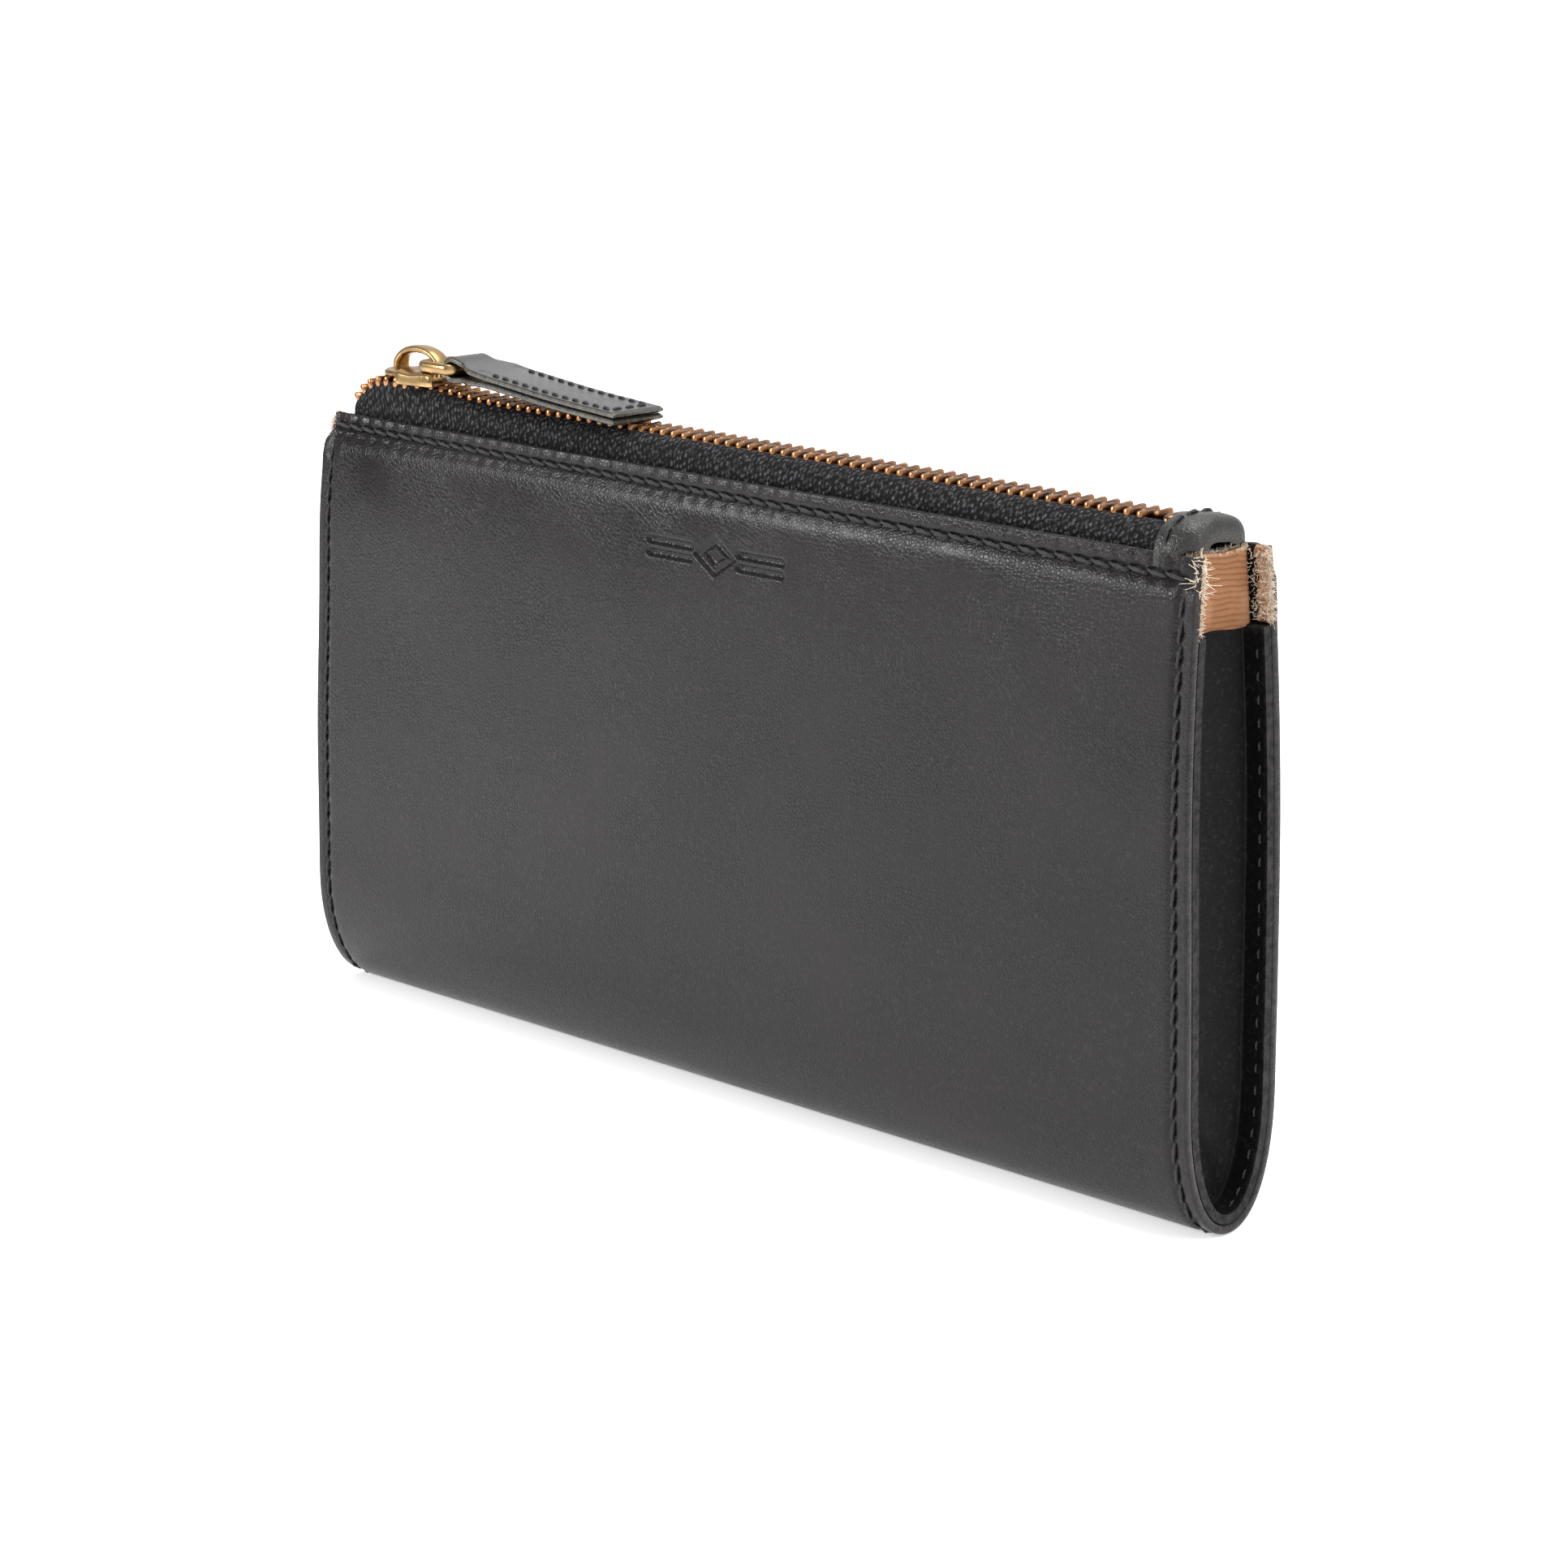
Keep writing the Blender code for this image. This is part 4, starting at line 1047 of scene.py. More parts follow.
def addTeeth(name, side, start, node):
    c = chain
    u = start + c["pitch"] * np.arange(int((c["right"] - start) / c["pitch"]))
    x, z, past = chainPath(u)
    cos, sin, flat = np.cos(past), np.sin(past), np.zeros_like(u)
    axes = np.stack([np.stack([cos, flat, sin], -1), np.stack([flat, flat + side, flat], -1),
                     np.stack([-sin, flat, cos], -1)], axis=1)
    origins = np.stack([x, side * rowSpread(u), z], -1)
    shape = toothShape()
    # painted light: the tooth ends at the tape stay bright and untarnished, as if lit; the dull patches
    # elsewhere are real tarnish
    bright = np.clip((shape[0][:, 1] - 1.2 * mm) / (1.2 * mm), 0, 1)
    spans = [("Left", u < splitX), ("Right", u >= splitX)] if side < 0 else [("", np.full(len(u), True))]
    for label, keep in spans:
        points, quads = repeatShape(*shape, origins[keep], axes[keep])
        piece = newPiece(name + label, points, quads, copper, rim=np.tile(bright, int(keep.sum())), sharp=50)
        if side < 0:
            bendWithMouth(piece)
        else:
            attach(piece, "back_body")
        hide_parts(node)


addTeeth("teethFront", -1, chain["left"], "zip_teeth_front")
addTeeth("teethBack", 1, chain["left"] + chain["pitch"] / 2, "zip_teeth_back")


def tapeGrid(side, us, depth):
    # From the teeth a quadratic curve runs over the shoulder to the panel's edge, then the tape hangs
    # down behind the panel; depth moves the whole face inwards.
    c = chain

    def ownRun(run):
        # counted from this panel's own top edge
        return run if side < 0 else wholeRun - run

    x, z, past = chainPath(us)
    start = c["tapeStart"] + rowSpread(us)
    shoulder = np.maximum(c["shoulder"], start + 1.0 * mm)
    straight = x >= c["turnX"]
    edgeRun = np.full_like(us, 0.4 * mm)
    inX = np.clip(x, -half + 1.2 * mm, half)
    atEdge = side * layerPoint(inX, ownRun(edgeRun), np.full_like(us, c["tapeDepth"]))[..., 1]
    shoulder = np.where(straight, shoulder, np.minimum(shoulder, start + 0.7 * mm))
    t = np.linspace(0, 1, 16)[None, :]
    first = np.stack([start, z + 0.25 * mm], -1)[:, None]
    middle = np.stack([shoulder, z + 0.35 * mm - 0.5 * mm * np.sin(past)], -1)[:, None]
    last = np.stack([atEdge, np.full_like(us, wallet["height"] + 0.3 * mm)], -1)[:, None]
    t = t[..., None]
    roof = (1 - t) ** 2 * first + 2 * t * (1 - t) * middle + t ** 2 * last
    runs = np.linspace(0.9 * mm, float(runAtHeight(c["tapeLow"])), 10)[None, :]
    hang = layerPoint(inX[:, None] + 0 * runs, ownRun(runs + 0 * us[:, None]),
                      np.full((len(us), 10), c["tapeDepth"]))
    y = np.concatenate([roof[..., 0], side * hang[..., 1]], axis=1)
    height = np.concatenate([roof[..., 1], hang[..., 2]], axis=1)
    across = np.concatenate([x[:, None] + 0 * roof[..., 0], hang[..., 0]], axis=1)
    grid = np.stack([across, side * y, height], axis=-1)
    run = np.gradient(grid, axis=1)
    normal = unit(np.cross(np.gradient(grid, axis=0), run)) * side
    return grid - normal * depth


def addTape(name, side, node):
    c = chain
    us = stepped([(c["left"] - 0.5 * mm, 0.7 * mm), (c["turnX"], 1.2 * mm), (wallet["openFrom"], 1.2 * mm),
                  (c["tapeRight"], 1)])
    outer, inner = tapeGrid(side, us, 0.0), tapeGrid(side, us, c["tapeThick"])
    run = runAlong(outer[len(us) // 2])
    uv = np.stack(np.meshgrid(us, run, indexing="ij"), axis=-1)
    panelPiece(name, us, (outer, inner, uv, np.zeros(outer.shape[:2])), tape, side < 0, node)


addTape("tapeFront", -1, "zip_tape_front")
addTape("tapeBack", 1, "zip_tape_back")


def addBottomStop():
    # clamp bent over both rows: a rounded box whose section swells in the middle
    low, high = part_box("bottom_stop")
    x = np.linspace(low.x, high.x, 6)[:, None]
    around = fullTurn(24)
    y = 2.9 * mm * blunt(np.cos(around), 0.5)
    z = 1.25 * mm * blunt(np.sin(around), 0.6)
    swell = np.array([0.8, 0.96, 1, 1, 0.96, 0.8])[:, None]
    middle = (low.z + high.z) / 2
    rings = np.stack(np.broadcast_arrays(x, swell * y, middle + swell * z), axis=-1)
    piece = newPiece("bottomStop", *tubeSolid(rings), copper)
    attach(piece, "back_body")
    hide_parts("bottom_stop")


addBottomStop()
print("stage 6: zip made")


# Slider, bridge, link and strap

slider = {"nose": -85.8 * mm, "shoulder": -80.3 * mm, "tail": -70.9 * mm, "wide": 4.65 * mm,
          "narrow": 4.5 * mm, "post": -81.4 * mm, "postLong": 1.0 * mm, "postWide": 0.45 * mm,
          "lowWide": 3.4 * mm, "lowThick": 0.6 * mm, "noseWide": 1.9 * mm, "neckWide": 3.5 * mm,
          "inner": 1.9 * mm, "plate": 2.2 * mm, "drop": 0.5 * mm,
          "tilt": 0.3 * mm, "cut": 3.4 * mm}


def sliderSection(x, wide, top, drop, thick, cut=0.0, count=40):
    # closed section of the top plate: crowned above, with flanges turned down at both sides, the middle
    # standing back by the cut
    around = fullTurn(count)
    across, up = np.cos(around), np.sin(around)
    y = wide * blunt(across, 0.42)
    crown = slider["plate"] * thick * (1 - 0.12 * np.abs(y / wide) ** 2.5)
    flange = drop * np.clip((np.abs(y) - wide + 1.1 * mm) / (0.4 * mm), 0, 1)
    high = up.clip(0) ** 0.22 * crown
    low = -(-up).clip(0) ** 0.35 * flange
    return np.stack([x - cut * (1 - np.abs(y / wide) ** 3), y, top + high + low], axis=-1)


def addSlider():
    k = slider
    xs = np.concatenate([np.linspace(k["nose"], k["shoulder"], 12), np.linspace(k["shoulder"] + 0.15 * mm,
                                                                                 k["tail"], 24)])
    rings = []
    for x in xs:
        part = (x - k["shoulder"]) / (k["tail"] - k["shoulder"])
        base = chain["height"] + chain["slope"] * x + k["inner"] + k["tilt"] * part
        if x <= k["shoulder"]:
            roundness = math.sqrt(max(0.0, 1 - (x - k["shoulder"]) ** 2 / (k["nose"] - k["shoulder"]) ** 2))
            wide = k["noseWide"] + (k["neckWide"] - k["noseWide"]) * roundness
            rings.append(sliderSection(x, wide, base + 0.55 * mm, 0.05 * mm, 0.55))
            continue
        wide = k["wide"] + (k["narrow"] - k["wide"]) * min(1, 1.3 * part)
        wide -= 0.35 * mm * (max(0, (0.12 - part) / 0.12) ** 2 + max(0, (part - 0.92) / 0.08) ** 2)
        wave = 1 - 0.14 * math.sin(math.pi * min(1, 1.25 * part)) ** 2
        rings.append(sliderSection(x, wide, base, k["drop"], wave, k["cut"] * max(0, part) ** 2))
    shapes = [tubeSolid(np.array(rings))]
    around = fullTurn(24)
    low = []
    for x in np.linspace(k["shoulder"] + 0.4 * mm, k["tail"] + 0.2 * mm, 8):
        base = chain["height"] + chain["slope"] * x - k["inner"] - k["lowThick"]
        low.append(np.stack([np.full(24, x), k["lowWide"] * blunt(np.cos(around), 0.4),
                             base + k["lowThick"] * blunt(np.sin(around), 0.6)], -1))
    shapes.append(tubeSolid(np.array(low)))
    around = fullTurn(16)
    base = chain["height"] + chain["slope"] * k["shoulder"]
    post = []
    for step in np.linspace(-1, 1, 8):
        flare = 1 + 0.5 * abs(step) ** 4
        post.append(np.stack([k["post"] + k["postLong"] * flare * np.cos(around),
                              k["postWide"] * flare * np.sin(around),
                              np.full(16, base + step * (k["inner"] + 0.3 * mm))], -1))
    shapes.append(tubeSolid(np.array(post)))
    piece = newPiece("sliderBody", *joinShapes(shapes), brass, sharp=50)
    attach(piece, "slider")
    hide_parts("slider_body")


def roundedBand(path, widths, thickness, corner=0.55, count=16):
    # A flat strip with rounded corners swept along a path in the XZ plane: its section is a superellipse.
    run = unit(np.gradient(path, axis=0))
    normal = np.stack([-run[:, 1], run[:, 0]], -1)
    around = fullTurn(count) + np.pi / count
    y = blunt(np.cos(around), corner)
    n = blunt(np.sin(around), corner)
    halfWidth = np.asarray(widths)[:, None] / 2 * y
    off = np.asarray(thickness)[:, None] / 2 * n
    return np.stack([path[:, :1] + normal[:, :1] * off, halfWidth,
                     path[:, 1:] + normal[:, 1:] * off], axis=-1)


def addBridge():
    # D-shaped arch: short feet on the plate, then nearly a half circle over the link's bar
    low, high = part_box("slider_bridge")
    left, right, width = low.x - 0.3 * mm, high.x, 2.9 * mm
    angle = np.linspace(-0.12, math.pi + 0.12, 34)
    reach = (right - left) / 2 - 0.9 * mm
    rise = high.z - low.z - 0.45 * mm
    x = (left + right) / 2 - reach * blunt(np.cos(angle), 0.92)
    z = high.z - 0.3 * mm - rise + rise * blunt(np.sin(angle), 0.9)
    path = np.stack([x, z], -1)
    flare = width * (1 + 0.12 * np.abs(np.cos(angle)) ** 6)
    rings = roundedBand(path, flare, np.full(len(path), 1.25 * mm), corner=0.7)
    piece = newPiece("sliderBridge", *tubeSolid(rings), brass, sharp=50)
    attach(piece, "slider")
    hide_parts("slider_bridge")


linkLow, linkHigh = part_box("puller_link")
link = {"bar": 1.55 * mm, "tall": 1.9 * mm, "corner": 1.5 * mm}


def addLink():
    # rectangular ring with rounded corners, swept with a rounded section
    bar = link["bar"]
    left, right, wide = linkLow.x + bar / 2, linkHigh.x - bar / 2, linkHigh.y - bar / 2
    level = (linkLow.z + linkHigh.z) / 2
    r = link["corner"]
    quarter = np.linspace(0, math.pi / 2, 7)
    arcs = []
    for k, (cx, cy) in enumerate(((right - r, wide - r), (left + r, wide - r), (left + r, r - wide),
                                  (right - r, r - wide))):
        angle = quarter + k * math.pi / 2
        cos, sin = np.cos(angle), np.sin(angle)
        arcs.append(np.stack([cx + r * cos, cy + r * sin, cos, sin], -1))
    path = np.concatenate(arcs)
    around = fullTurn(14)
    out = bar / 2 * blunt(np.cos(around), 0.8)
    up = link["tall"] / 2 * blunt(np.sin(around), 0.8)
    rings = np.stack([path[:, 0:1] + path[:, 2:3] * out, path[:, 1:2] + path[:, 3:4] * out,
                      np.broadcast_to(level + up, (len(path), 14))], axis=-1)
    piece = newPiece("pullerLink", *tubeSolid(rings, closed=True), brass, sharp=50)
    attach(piece, "puller_link")
    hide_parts("puller_link")


strap = {"axisX": linkHigh.x - 0.85 * mm, "axisZ": (linkLow.z + linkHigh.z) / 2, "length": 44.5 * mm,
         "skin": 0.98 * mm, "gap": 0.16 * mm, "width": 10.5 * mm, "neck": 7.2 * mm, "loop": 1.95 * mm,
         "slope": 4.2, "yaw": -2.9,
         "edge": 1.45 * mm, "endSeam": 2.3 * mm, "stitchLength": 2.0 * mm, "pitch": 2.6 * mm}


def strapTurn(points):
    # the strap's own frame, length along x, turned down by the slope and swayed by the yaw
    slope, sway = math.radians(strap["slope"]), math.tan(math.radians(strap["yaw"]))
    x, y, z = points[..., 0], points[..., 1], points[..., 2]
    y = y + sway * np.maximum(x - 4 * mm, 0)
    return np.stack([strap["axisX"] + x * math.cos(slope) + z * math.sin(slope), y,
                     strap["axisZ"] - x * math.sin(slope) + z * math.cos(slope)], axis=-1)


def strapWidth(x):
    # narrow neck at the link, then a shoulder out to the full width
    k = strap
    part = np.clip((x - 3.4 * mm) / (3.2 * mm), 0, 1)
    return k["neck"] + (k["width"] - k["neck"]) * part ** 0.75


def strapBulge(x):
    # the two layers stand apart behind the link
    return 0.38 * mm * np.exp(-((x - 4.5 * mm) / (3.6 * mm)) ** 2)


def strapWave(x):
    return 0.12 * mm * np.sin(x / (6 * mm))


def strapPath():
    # middle line of the folded strip: along the upper layer to the link, round it, and back below
    k = strap
    layer = (k["skin"] + k["gap"]) / 2
    start = math.radians(48)
    far = np.linspace(k["length"], 5 * mm, 64)
    turn = np.linspace(start, 2 * math.pi - start, 25)
    bulge = strapBulge(far)
    wave = strapWave(far)
    upper = np.stack([far, layer + bulge + wave], -1)
    around = np.stack([k["loop"] * np.cos(turn), k["loop"] * np.sin(turn)], -1)
    lower = np.stack([far[::-1], (-layer - 1.6 * bulge + wave)[::-1]], -1)
    path = np.concatenate([upper, around, lower])
    run = runAlong(path)
    even = np.linspace(0, run[-1], 220)
    path = np.stack([np.interp(even, run, path[:, 0]), np.interp(even, run, path[:, 1])], -1)
    return np.stack([smoothed(path[:, i], 6, 2.6) for i in (0, 1)], -1)


def addStrap():
    k = strap
    path = strapPath()
    run = unit(np.gradient(path, axis=0))
    normal = np.stack([-run[:, 1], run[:, 0]], -1)
    across = stepped([(-1, 0.04), (-0.88, 0.11), (0.88, 0.04), (1, 1)])
    width = strapWidth(path[:, 0])[:, None] / 2
    fromEnd = np.minimum(np.arange(len(path)), np.arange(len(path))[::-1])[:, None] * 0.45 * mm
    edge = np.minimum(width * (1 - np.abs(across)), fromEnd)
    near = np.clip(edge / (0.42 * mm), 0, 1)
    full = 0.38 + 0.62 * roundOff(near)
    x0 = path[:, :1]
    seamAcross = np.abs(width * np.abs(across) - (width - k["edge"]))
    inSeam = (x0 > 8 * mm) & (x0 < k["length"] - 1.2 * mm)
    dent = 0.12 * mm * np.exp(-0.5 * (seamAcross / (0.45 * mm)) ** 2) * inSeam
    outer = k["skin"] / 2 * full - dent
    inner = k["skin"] / 2 * full
    y = width * across

    def face(offset):
        return strapTurn(np.stack(np.broadcast_arrays(path[:, :1] + normal[:, :1] * offset, y,
                                                      path[:, 1:] + normal[:, 1:] * offset), axis=-1))

    points, quads = solidGrid(face(-outer), face(inner))
    piece = newPiece("pullerStrap", points, quads, pullLeather, rim=np.tile(1 - near.ravel(), 2))
    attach(piece, "puller_strap")
    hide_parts("puller_strap")
    top = (k["skin"] + k["gap"]) / 2 + k["skin"] / 2
    count = int((k["length"] - k["endSeam"] - 9 * mm) / k["pitch"])
    x = k["length"] - k["endSeam"] - k["pitch"] * (np.arange(count) + 0.5)
    rail = k["width"] / 2 - k["edge"]
    across = np.linspace(-rail, rail, 4)
    across = (across[1:] + across[:-1]) / 2
    places = np.concatenate([np.stack([x, x * 0 + rail], -1), np.stack([x, x * 0 - rail], -1),
                             np.stack([across * 0 + k["length"] - k["endSeam"], across], -1)])
    heads = np.concatenate([np.zeros(2 * len(x)), np.full(3, math.pi / 2)])
    shape = stitchShape(k["stitchLength"], 0.30 * mm, 0.14 * mm, 0.35 * mm, -7, rings=7, size=6)
    shapes = []
    for up, level in ((1, top), (-1, -top)):
        bulge = strapBulge(places[:, 0]) * (1 if up > 0 else 1.6)
        height = level + up * bulge + strapWave(places[:, 0]) - up * 0.04 * mm
        at = strapTurn(np.stack([places[:, 0], places[:, 1], height], -1))
        slope = math.radians(k["slope"])
        forward = np.stack([np.cos(heads) * math.cos(slope), np.sin(heads),
                            -np.cos(heads) * math.sin(slope)], -1)
        upward = np.tile(np.array([math.sin(slope), 0, math.cos(slope)]) * up, (len(at), 1))
        shapes.append(placeStitches(at, unit(forward), upward, shape))
    stitches = newPiece("strapStitches", *joinShapes(shapes), thread, sharp=70)
    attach(stitches, "puller_strap")


addSlider()
addBridge()
addLink()
addStrap()
print("stage 7: slider and puller made")


# End tab

tab = {"left": 88.6 * mm, "right": 95.6 * mm, "top": 104.3 * mm, "foot": 97.5 * mm, "halfWidth": 7.2 * mm,
       "skin": 1.1 * mm, "endTop": 101.7 * mm, "endFoot": 100.1 * mm, "endHalfWidth": 3.4 * mm}


def tabGrid(inset):
    # An arch over the chain, y = cos and z = sin of the angle with flattened sides. Past a third of its
    # length it curls down and narrows to a blunt end.
    k = tab
    part = np.linspace(0, 1, 34)[:, None]
    angle = np.linspace(0.0, math.pi, 49)[None, :]
    x = k["left"] + (k["right"] - k["left"]) * np.sin(np.pi / 2 * part) ** 1.15
    past = np.clip((part - 0.25) / 0.75, 0, 1)
    top = k["top"] + 0.2 * mm * np.sin(np.pi * part) - (k["top"] - k["endTop"]) * past ** 3 - inset
    foot = k["foot"] + (k["endFoot"] - k["foot"]) * np.clip((part - 0.15) / 0.45, 0, 1) ** 1.2
    width = k["halfWidth"] - (k["halfWidth"] - k["endHalfWidth"]) * past ** 1.6 - inset
    y = 0.2 * mm + width * blunt(np.cos(angle), 0.85)
    rise = np.abs(np.sin(angle)) ** 0.72
    z = foot + (top - foot) * rise
    crease = 0.10 * mm * np.sin(9 * y / k["halfWidth"] + 3 * part) * past
    return np.stack(np.broadcast_arrays(x - inset * 0.5 * past, y, z + crease), axis=-1)


def addTab():
    k = tab
    outer, inner = tabGrid(0.0), tabGrid(k["skin"])
    run = outer[..., 0] - k["left"]
    edge = np.minimum(run, outer[-1:, :, 0] - outer[..., 0] + 0.0001)
    near = np.clip(edge / (0.6 * mm), 0, 1)
    thinned = (1 - roundOff(near))[..., None] * 0.5
    groove = (np.exp(-0.5 * ((run - 2.0 * mm) / (0.45 * mm)) ** 2) * 0.2)[..., None]
    middle = (outer + inner) / 2
    outerFace = outer + (middle - outer) * (thinned + groove)
    innerFace = inner + (middle - inner) * thinned
    points, quads = solidGrid(outerFace, innerFace)
    piece = newPiece("endTab", points, quads, tabLeather, rim=np.tile(1 - near.ravel(), 2))
    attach(piece, "back_body")
    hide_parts("zip_end_tab")
    column = int(np.argmin(np.abs(run[:, 24] - 2.0 * mm)))
    line = outer[column]
    run = runAlong(line)
    places = np.arange(3.0 * mm, run[-1] - 2 * mm, 3.1 * mm)
    here = np.stack([np.interp(places, run, line[:, i]) for i in range(3)], -1)
    ahead = np.stack([np.interp(places + 0.1 * mm, run, line[:, i]) for i in range(3)], -1)
    along = unit(ahead - here)
    outward = unit(np.cross(along, np.array([1.0, 0, 0])))
    fromInside = (here - np.array([0, 0, 95 * mm])) * np.array([0, 1, 1])
    outward *= np.sign(np.sum(outward * fromInside, -1, keepdims=True))
    shape = stitchShape(2.8 * mm, 0.34 * mm, 0.12 * mm, 0.4 * mm, 8)
    points, quads = placeStitches(here, along, outward, shape)
    stitches = newPiece("tabStitches", points, quads, thread, sharp=70)
    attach(stitches, "back_body")


addTab()
print("stage 8: end tab made")


# Frayed threads at the linings' cut edges

def fibres(name, roots, directions, lengths, radius, seed, material, bend=0.6):
    # thin bent hairs: a straight start plus a sideways push that grows as the square of the way along
    rng = np.random.default_rng(seed)
    count, rings, size = len(roots), 5, 4
    t = np.linspace(0, 1, rings)[None, :, None]
    sideways = rng.normal(size=(count, 1, 3)) * bend
    curl = rng.normal(size=(count, 1, 3)) * bend * 0.5
    way = directions[:, None] * t + sideways * t ** 2 + curl * t ** 3
    middle = roots[:, None] + lengths[:, None, None] * way
    along = unit(np.gradient(middle, axis=1))
    first = unit(np.cross(along, np.array([0.31, 0.52, 0.79])))
    second = np.cross(along, first)
    around = fullTurn(size)
    thin = (radius * (1 - 0.55 * t[0, :, 0]))[None, :, None, None]
    points = middle[:, :, None] + thin * (first[:, :, None] * np.cos(around)[None, None, :, None]
                                          + second[:, :, None] * np.sin(around)[None, None, :, None])
    _, quads = tubeSolid(points[0])
    shift = np.arange(count)[:, None, None] * rings * size
    piece = newPiece(name, points, (quads[None] + shift).reshape(-1, 4), material, sharp=80)
    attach(piece, "back_body")


def frayAlong(line, count, spread, seed):
    rng = np.random.default_rng(seed)
    run = runAlong(line)
    places = rng.uniform(0, run[-1], count)
    at = np.stack([np.interp(places, run, line[:, i]) for i in range(3)], -1)
    return at + rng.normal(size=(count, 3)) * spread, rng


def fuzzLine(name, x, runs, depth, count, aim, scatter, lengths, radius, seed, drift=0.0):
    # hairs along a line under the hide's face, all leaning roughly one way
    line = layerPoint(np.full_like(runs, x), runs, np.full_like(runs, depth))
    roots, rng = frayAlong(line, count, 0.12 * mm, seed)
    roots[:, 0] -= np.sign(x) * np.abs(rng.normal(size=count)) * drift
    way = unit(np.array(aim) + rng.normal(size=(count, 3)) * scatter)
    fibres(name, roots, way, rng.uniform(*lengths, count), radius, seed + 50, paleFibre)


topRuns = np.linspace(0.1 * mm, float(runAtHeight(89 * mm)), 60)
for side, end in ((-1, "Left"), (1, "Right")):
    fuzzLine("fuzzStrip" + end, side * 96.9 * mm, wholeRun - topRuns, 2.3 * mm, 200, (0.2 * side, -1, 0.1),
             0.8, (0.2 * mm, 0.6 * mm), 0.05 * mm, 5 + side, 1.6 * mm)
    fuzzLine("fuzzBack" + end, side * 97.3 * mm, wholeRun - topRuns, 1.62 * mm, 520, (side, -0.3, 0.1), 0.7,
             (0.3 * mm, 1.1 * mm), 0.05 * mm, 15 + side)
    fuzzLine("fuzzFront" + end, side * 97.4 * mm, topRuns, 1.55 * mm, 260, (side, 0.2, 0.1), 0.8,
             (0.15 * mm, 0.5 * mm), 0.06 * mm, 25 + side)
    fuzzLine("tuftFront" + end, side * 97.4 * mm, np.linspace(0.1 * mm, 5.2 * mm, 9), 1.2 * mm, 90,
             (side * 0.8, -0.2, -0.2), 0.9, (0.5 * mm, 1.7 * mm), 0.075 * mm, 35 + side, 0.5 * mm)
    topRun = float(runAtHeight(channelLining["top"]))
    tops = channelGrid(side, channelLining["depth"], channelLining["webX"], channelLining["rimX"],
                       channelLining["bend"], 0.4 * mm, np.array([topRun, 3 * mm]))
    roots, rng = frayAlong(tops[0], 240, 0.12 * mm, 45 + side)
    way = unit(np.array([0.3 * side, 0, 1.0]) + rng.normal(size=(240, 3)) * 0.55)
    fibres("fuzzTop" + end, roots, way, rng.uniform(0.2 * mm, 0.8 * mm, 240), 0.04 * mm, 95 + side, paleFibre)
print("stage 9: frayed threads made")


# Floor, light and camera

def addFloor():
    # a round pale sheet, faintly uneven, that curls down where it ends
    rings, turns = 30, 64
    radius = np.linspace(0.0005, 1.05, rings)[:, None]
    angle = fullTurn(turns)[None, :]
    z = cadLow.z - 0.05 * mm + 0 * angle - 0.02 * np.clip((radius - 0.9) / 0.15, 0, 1) ** 2
    points = np.stack(np.broadcast_arrays(radius * np.cos(angle), radius * np.sin(angle), z), -1)
    mesh = bpy.data.meshes.new("floor")
    middle = [list(range(turns))[::-1]]
    mesh.from_pydata(points.reshape(-1, 3), [], gridFaces(rings, turns, loop=True).tolist() + middle)
    mesh.flip_normals()
    mesh.shade_smooth()
    floor = bpy.data.objects.new("floor", mesh)
    bpy.context.collection.objects.link(floor)
    material, tree, shader, place = startMaterial("paleFloor", Roughness=0.8, Specular_IOR_Level=0.1)
    noise = addNode(tree, "ShaderNodeTexNoise", {"Vector": place, "Scale": 60.0, "Detail": 3.0})
    colour = mixColour(tree, noise.outputs["Fac"], (0.90, 0.90, 0.90, 1), (0.93, 0.93, 0.93, 1))
    tree.links.new(colour, shader.inputs["Base Color"])
    shader.inputs["Emission Color"].default_value = (1, 1, 1, 1)
    shader.inputs["Emission Strength"].default_value = 0.5
    mesh.materials.append(material)


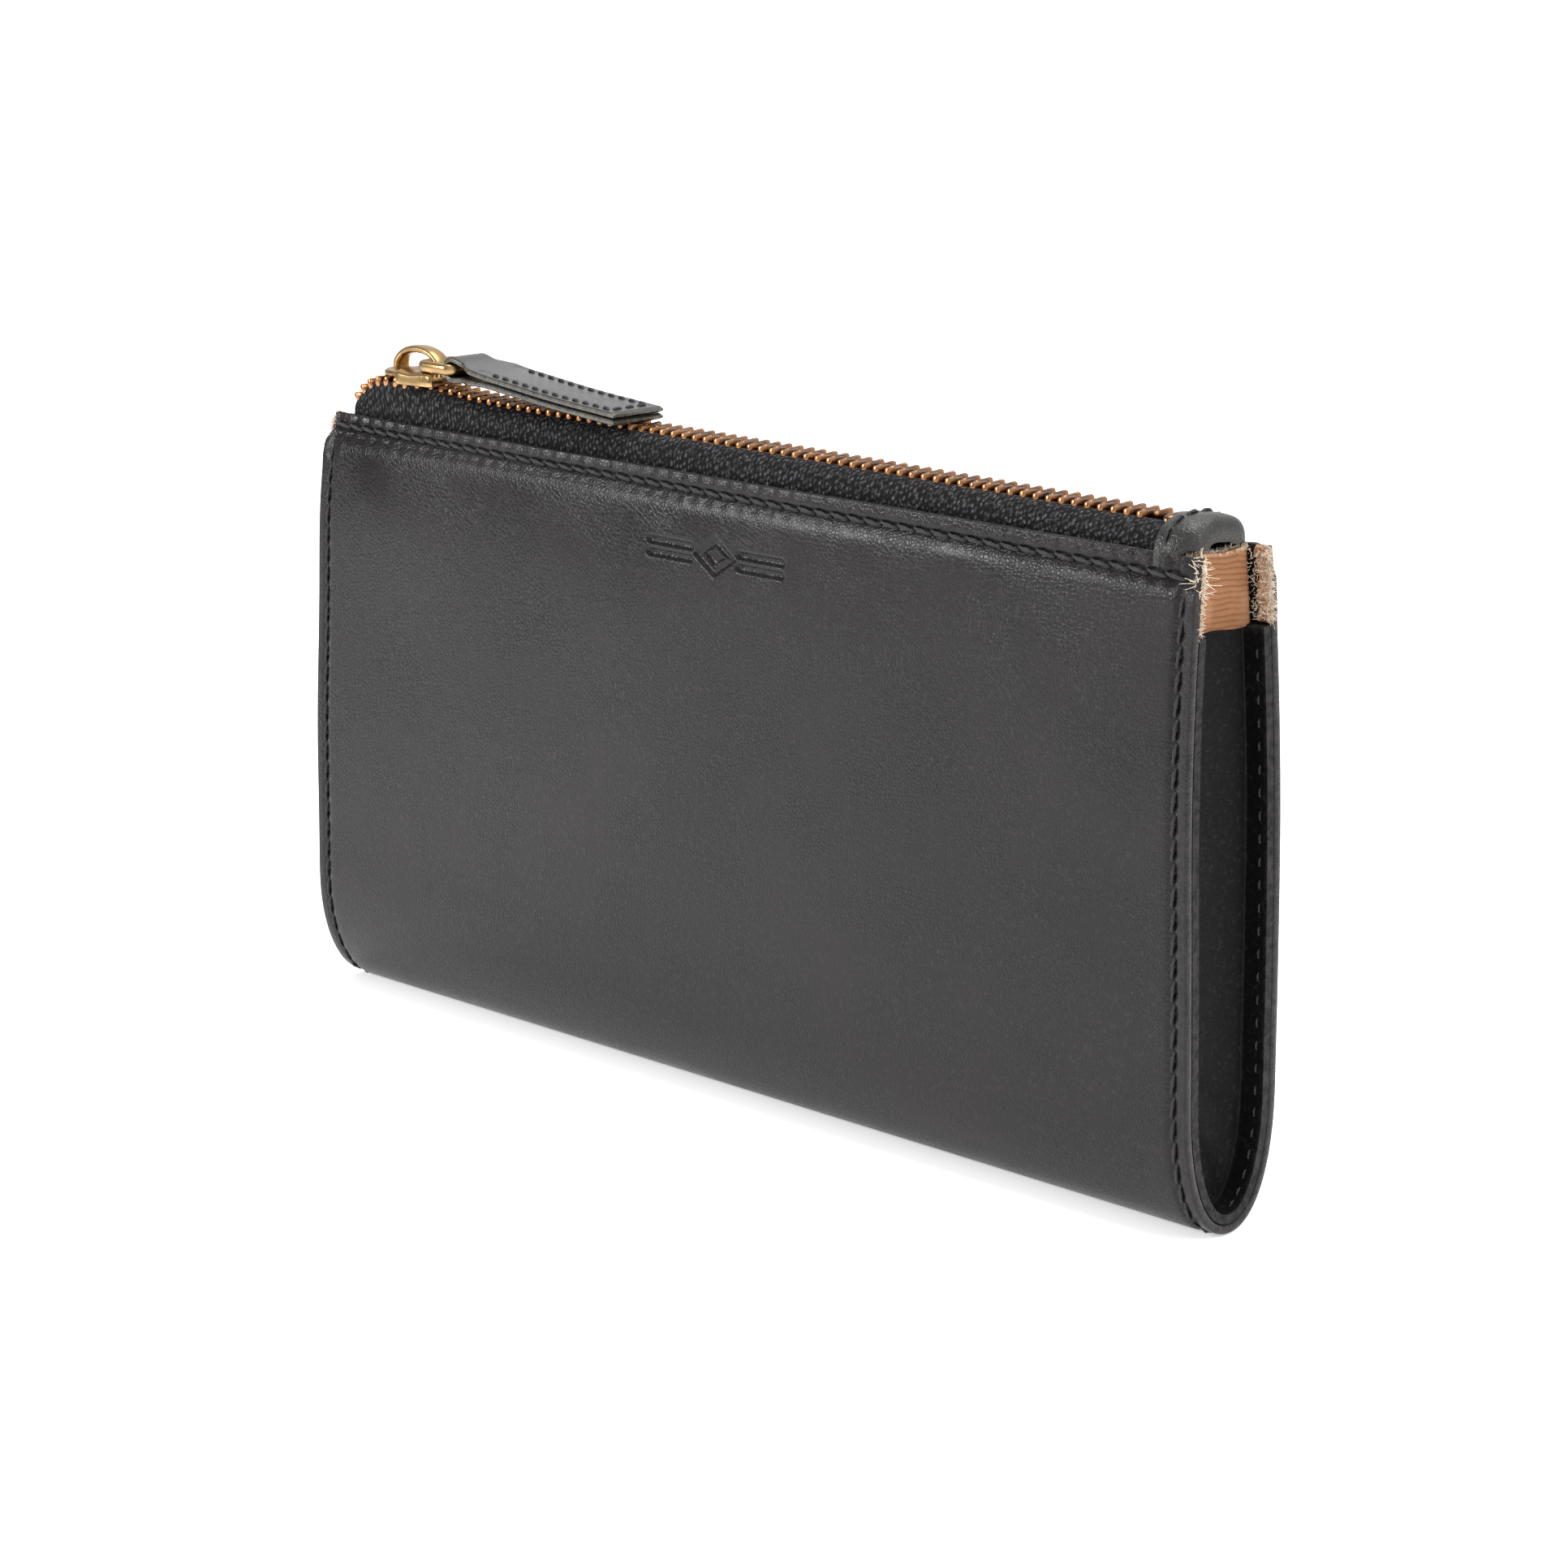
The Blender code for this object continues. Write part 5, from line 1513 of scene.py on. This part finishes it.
def addLight(name, place, aim, size, watts, colour=(1, 1, 1)):
    data = bpy.data.lights.new(name, "AREA")
    data.shape = "RECTANGLE"
    data.size, data.size_y = size
    data.energy = watts
    data.color = colour
    lamp = bpy.data.objects.new(name, data)
    lamp.location = place
    lamp.rotation_euler = (Vector(aim) - Vector(place)).to_track_quat("-Z", "Y").to_euler()
    bpy.context.collection.objects.link(lamp)


def addWorld():
    # white all round, dimmer towards the front left, where the room beyond the table is
    world = bpy.data.worlds.new("studio")
    world.use_nodes = True
    tree = world.node_tree
    way = tree.nodes.new("ShaderNodeTexCoord").outputs["Generated"]
    facing = addNode(tree, "ShaderNodeVectorMath", {0: way, 1: (-0.64, -0.77, 0.0)}, operation="DOT_PRODUCT")
    level = rampNode(tree, facing.outputs["Value"], 0.15, 0.8, 1.02, 0.25)
    background = tree.nodes["Background"]
    background.inputs["Color"].default_value = (1, 1, 1, 1)
    tree.links.new(level, background.inputs["Strength"])
    bpy.context.scene.world = world


def addCamera():
    # the view direction is set by azimuth and elevation, then rolled a little about itself
    view = {"azimuth": 46.18, "elevation": 13.67, "roll": -0.31, "lens": 94.81,
            "place": (0.4573, -0.4311, 0.2030)}
    az, el, roll = (math.radians(view[key]) for key in ("azimuth", "elevation", "roll"))
    forward = Vector((-math.sin(az) * math.cos(el), math.cos(az) * math.cos(el), -math.sin(el)))
    right = forward.cross(Vector((0, 0, 1))).normalized()
    up = right.cross(forward)
    rolledRight = math.cos(roll) * right + math.sin(roll) * up
    rolledUp = -math.sin(roll) * right + math.cos(roll) * up
    data = bpy.data.cameras.new("camera")
    data.lens, data.sensor_width = view["lens"], 36.0
    camera = bpy.data.objects.new("camera", data)
    turn = Matrix((rolledRight, rolledUp, -forward)).transposed().to_4x4()
    camera.matrix_world = Matrix.Translation(view["place"]) @ turn
    bpy.context.collection.objects.link(camera)
    bpy.context.scene.camera = camera


addFloor()
addWorld()
addLight("overhead", (0.0, 0.1, 1.0), (0, 0, 0.05), (0.7, 0.6), 8.0)
addLight("leftSoft", (-0.56, -0.72, 0.38), (0, 0, 0.06), (0.32, 0.22), 5.0)
addLight("rightSoft", (0.75, 0.05, 0.6), (0, 0, 0.06), (0.3, 0.3), 2.4)
addCamera()
bpy.context.scene.view_settings.view_transform = "Standard"

print("stage 10: stage set")
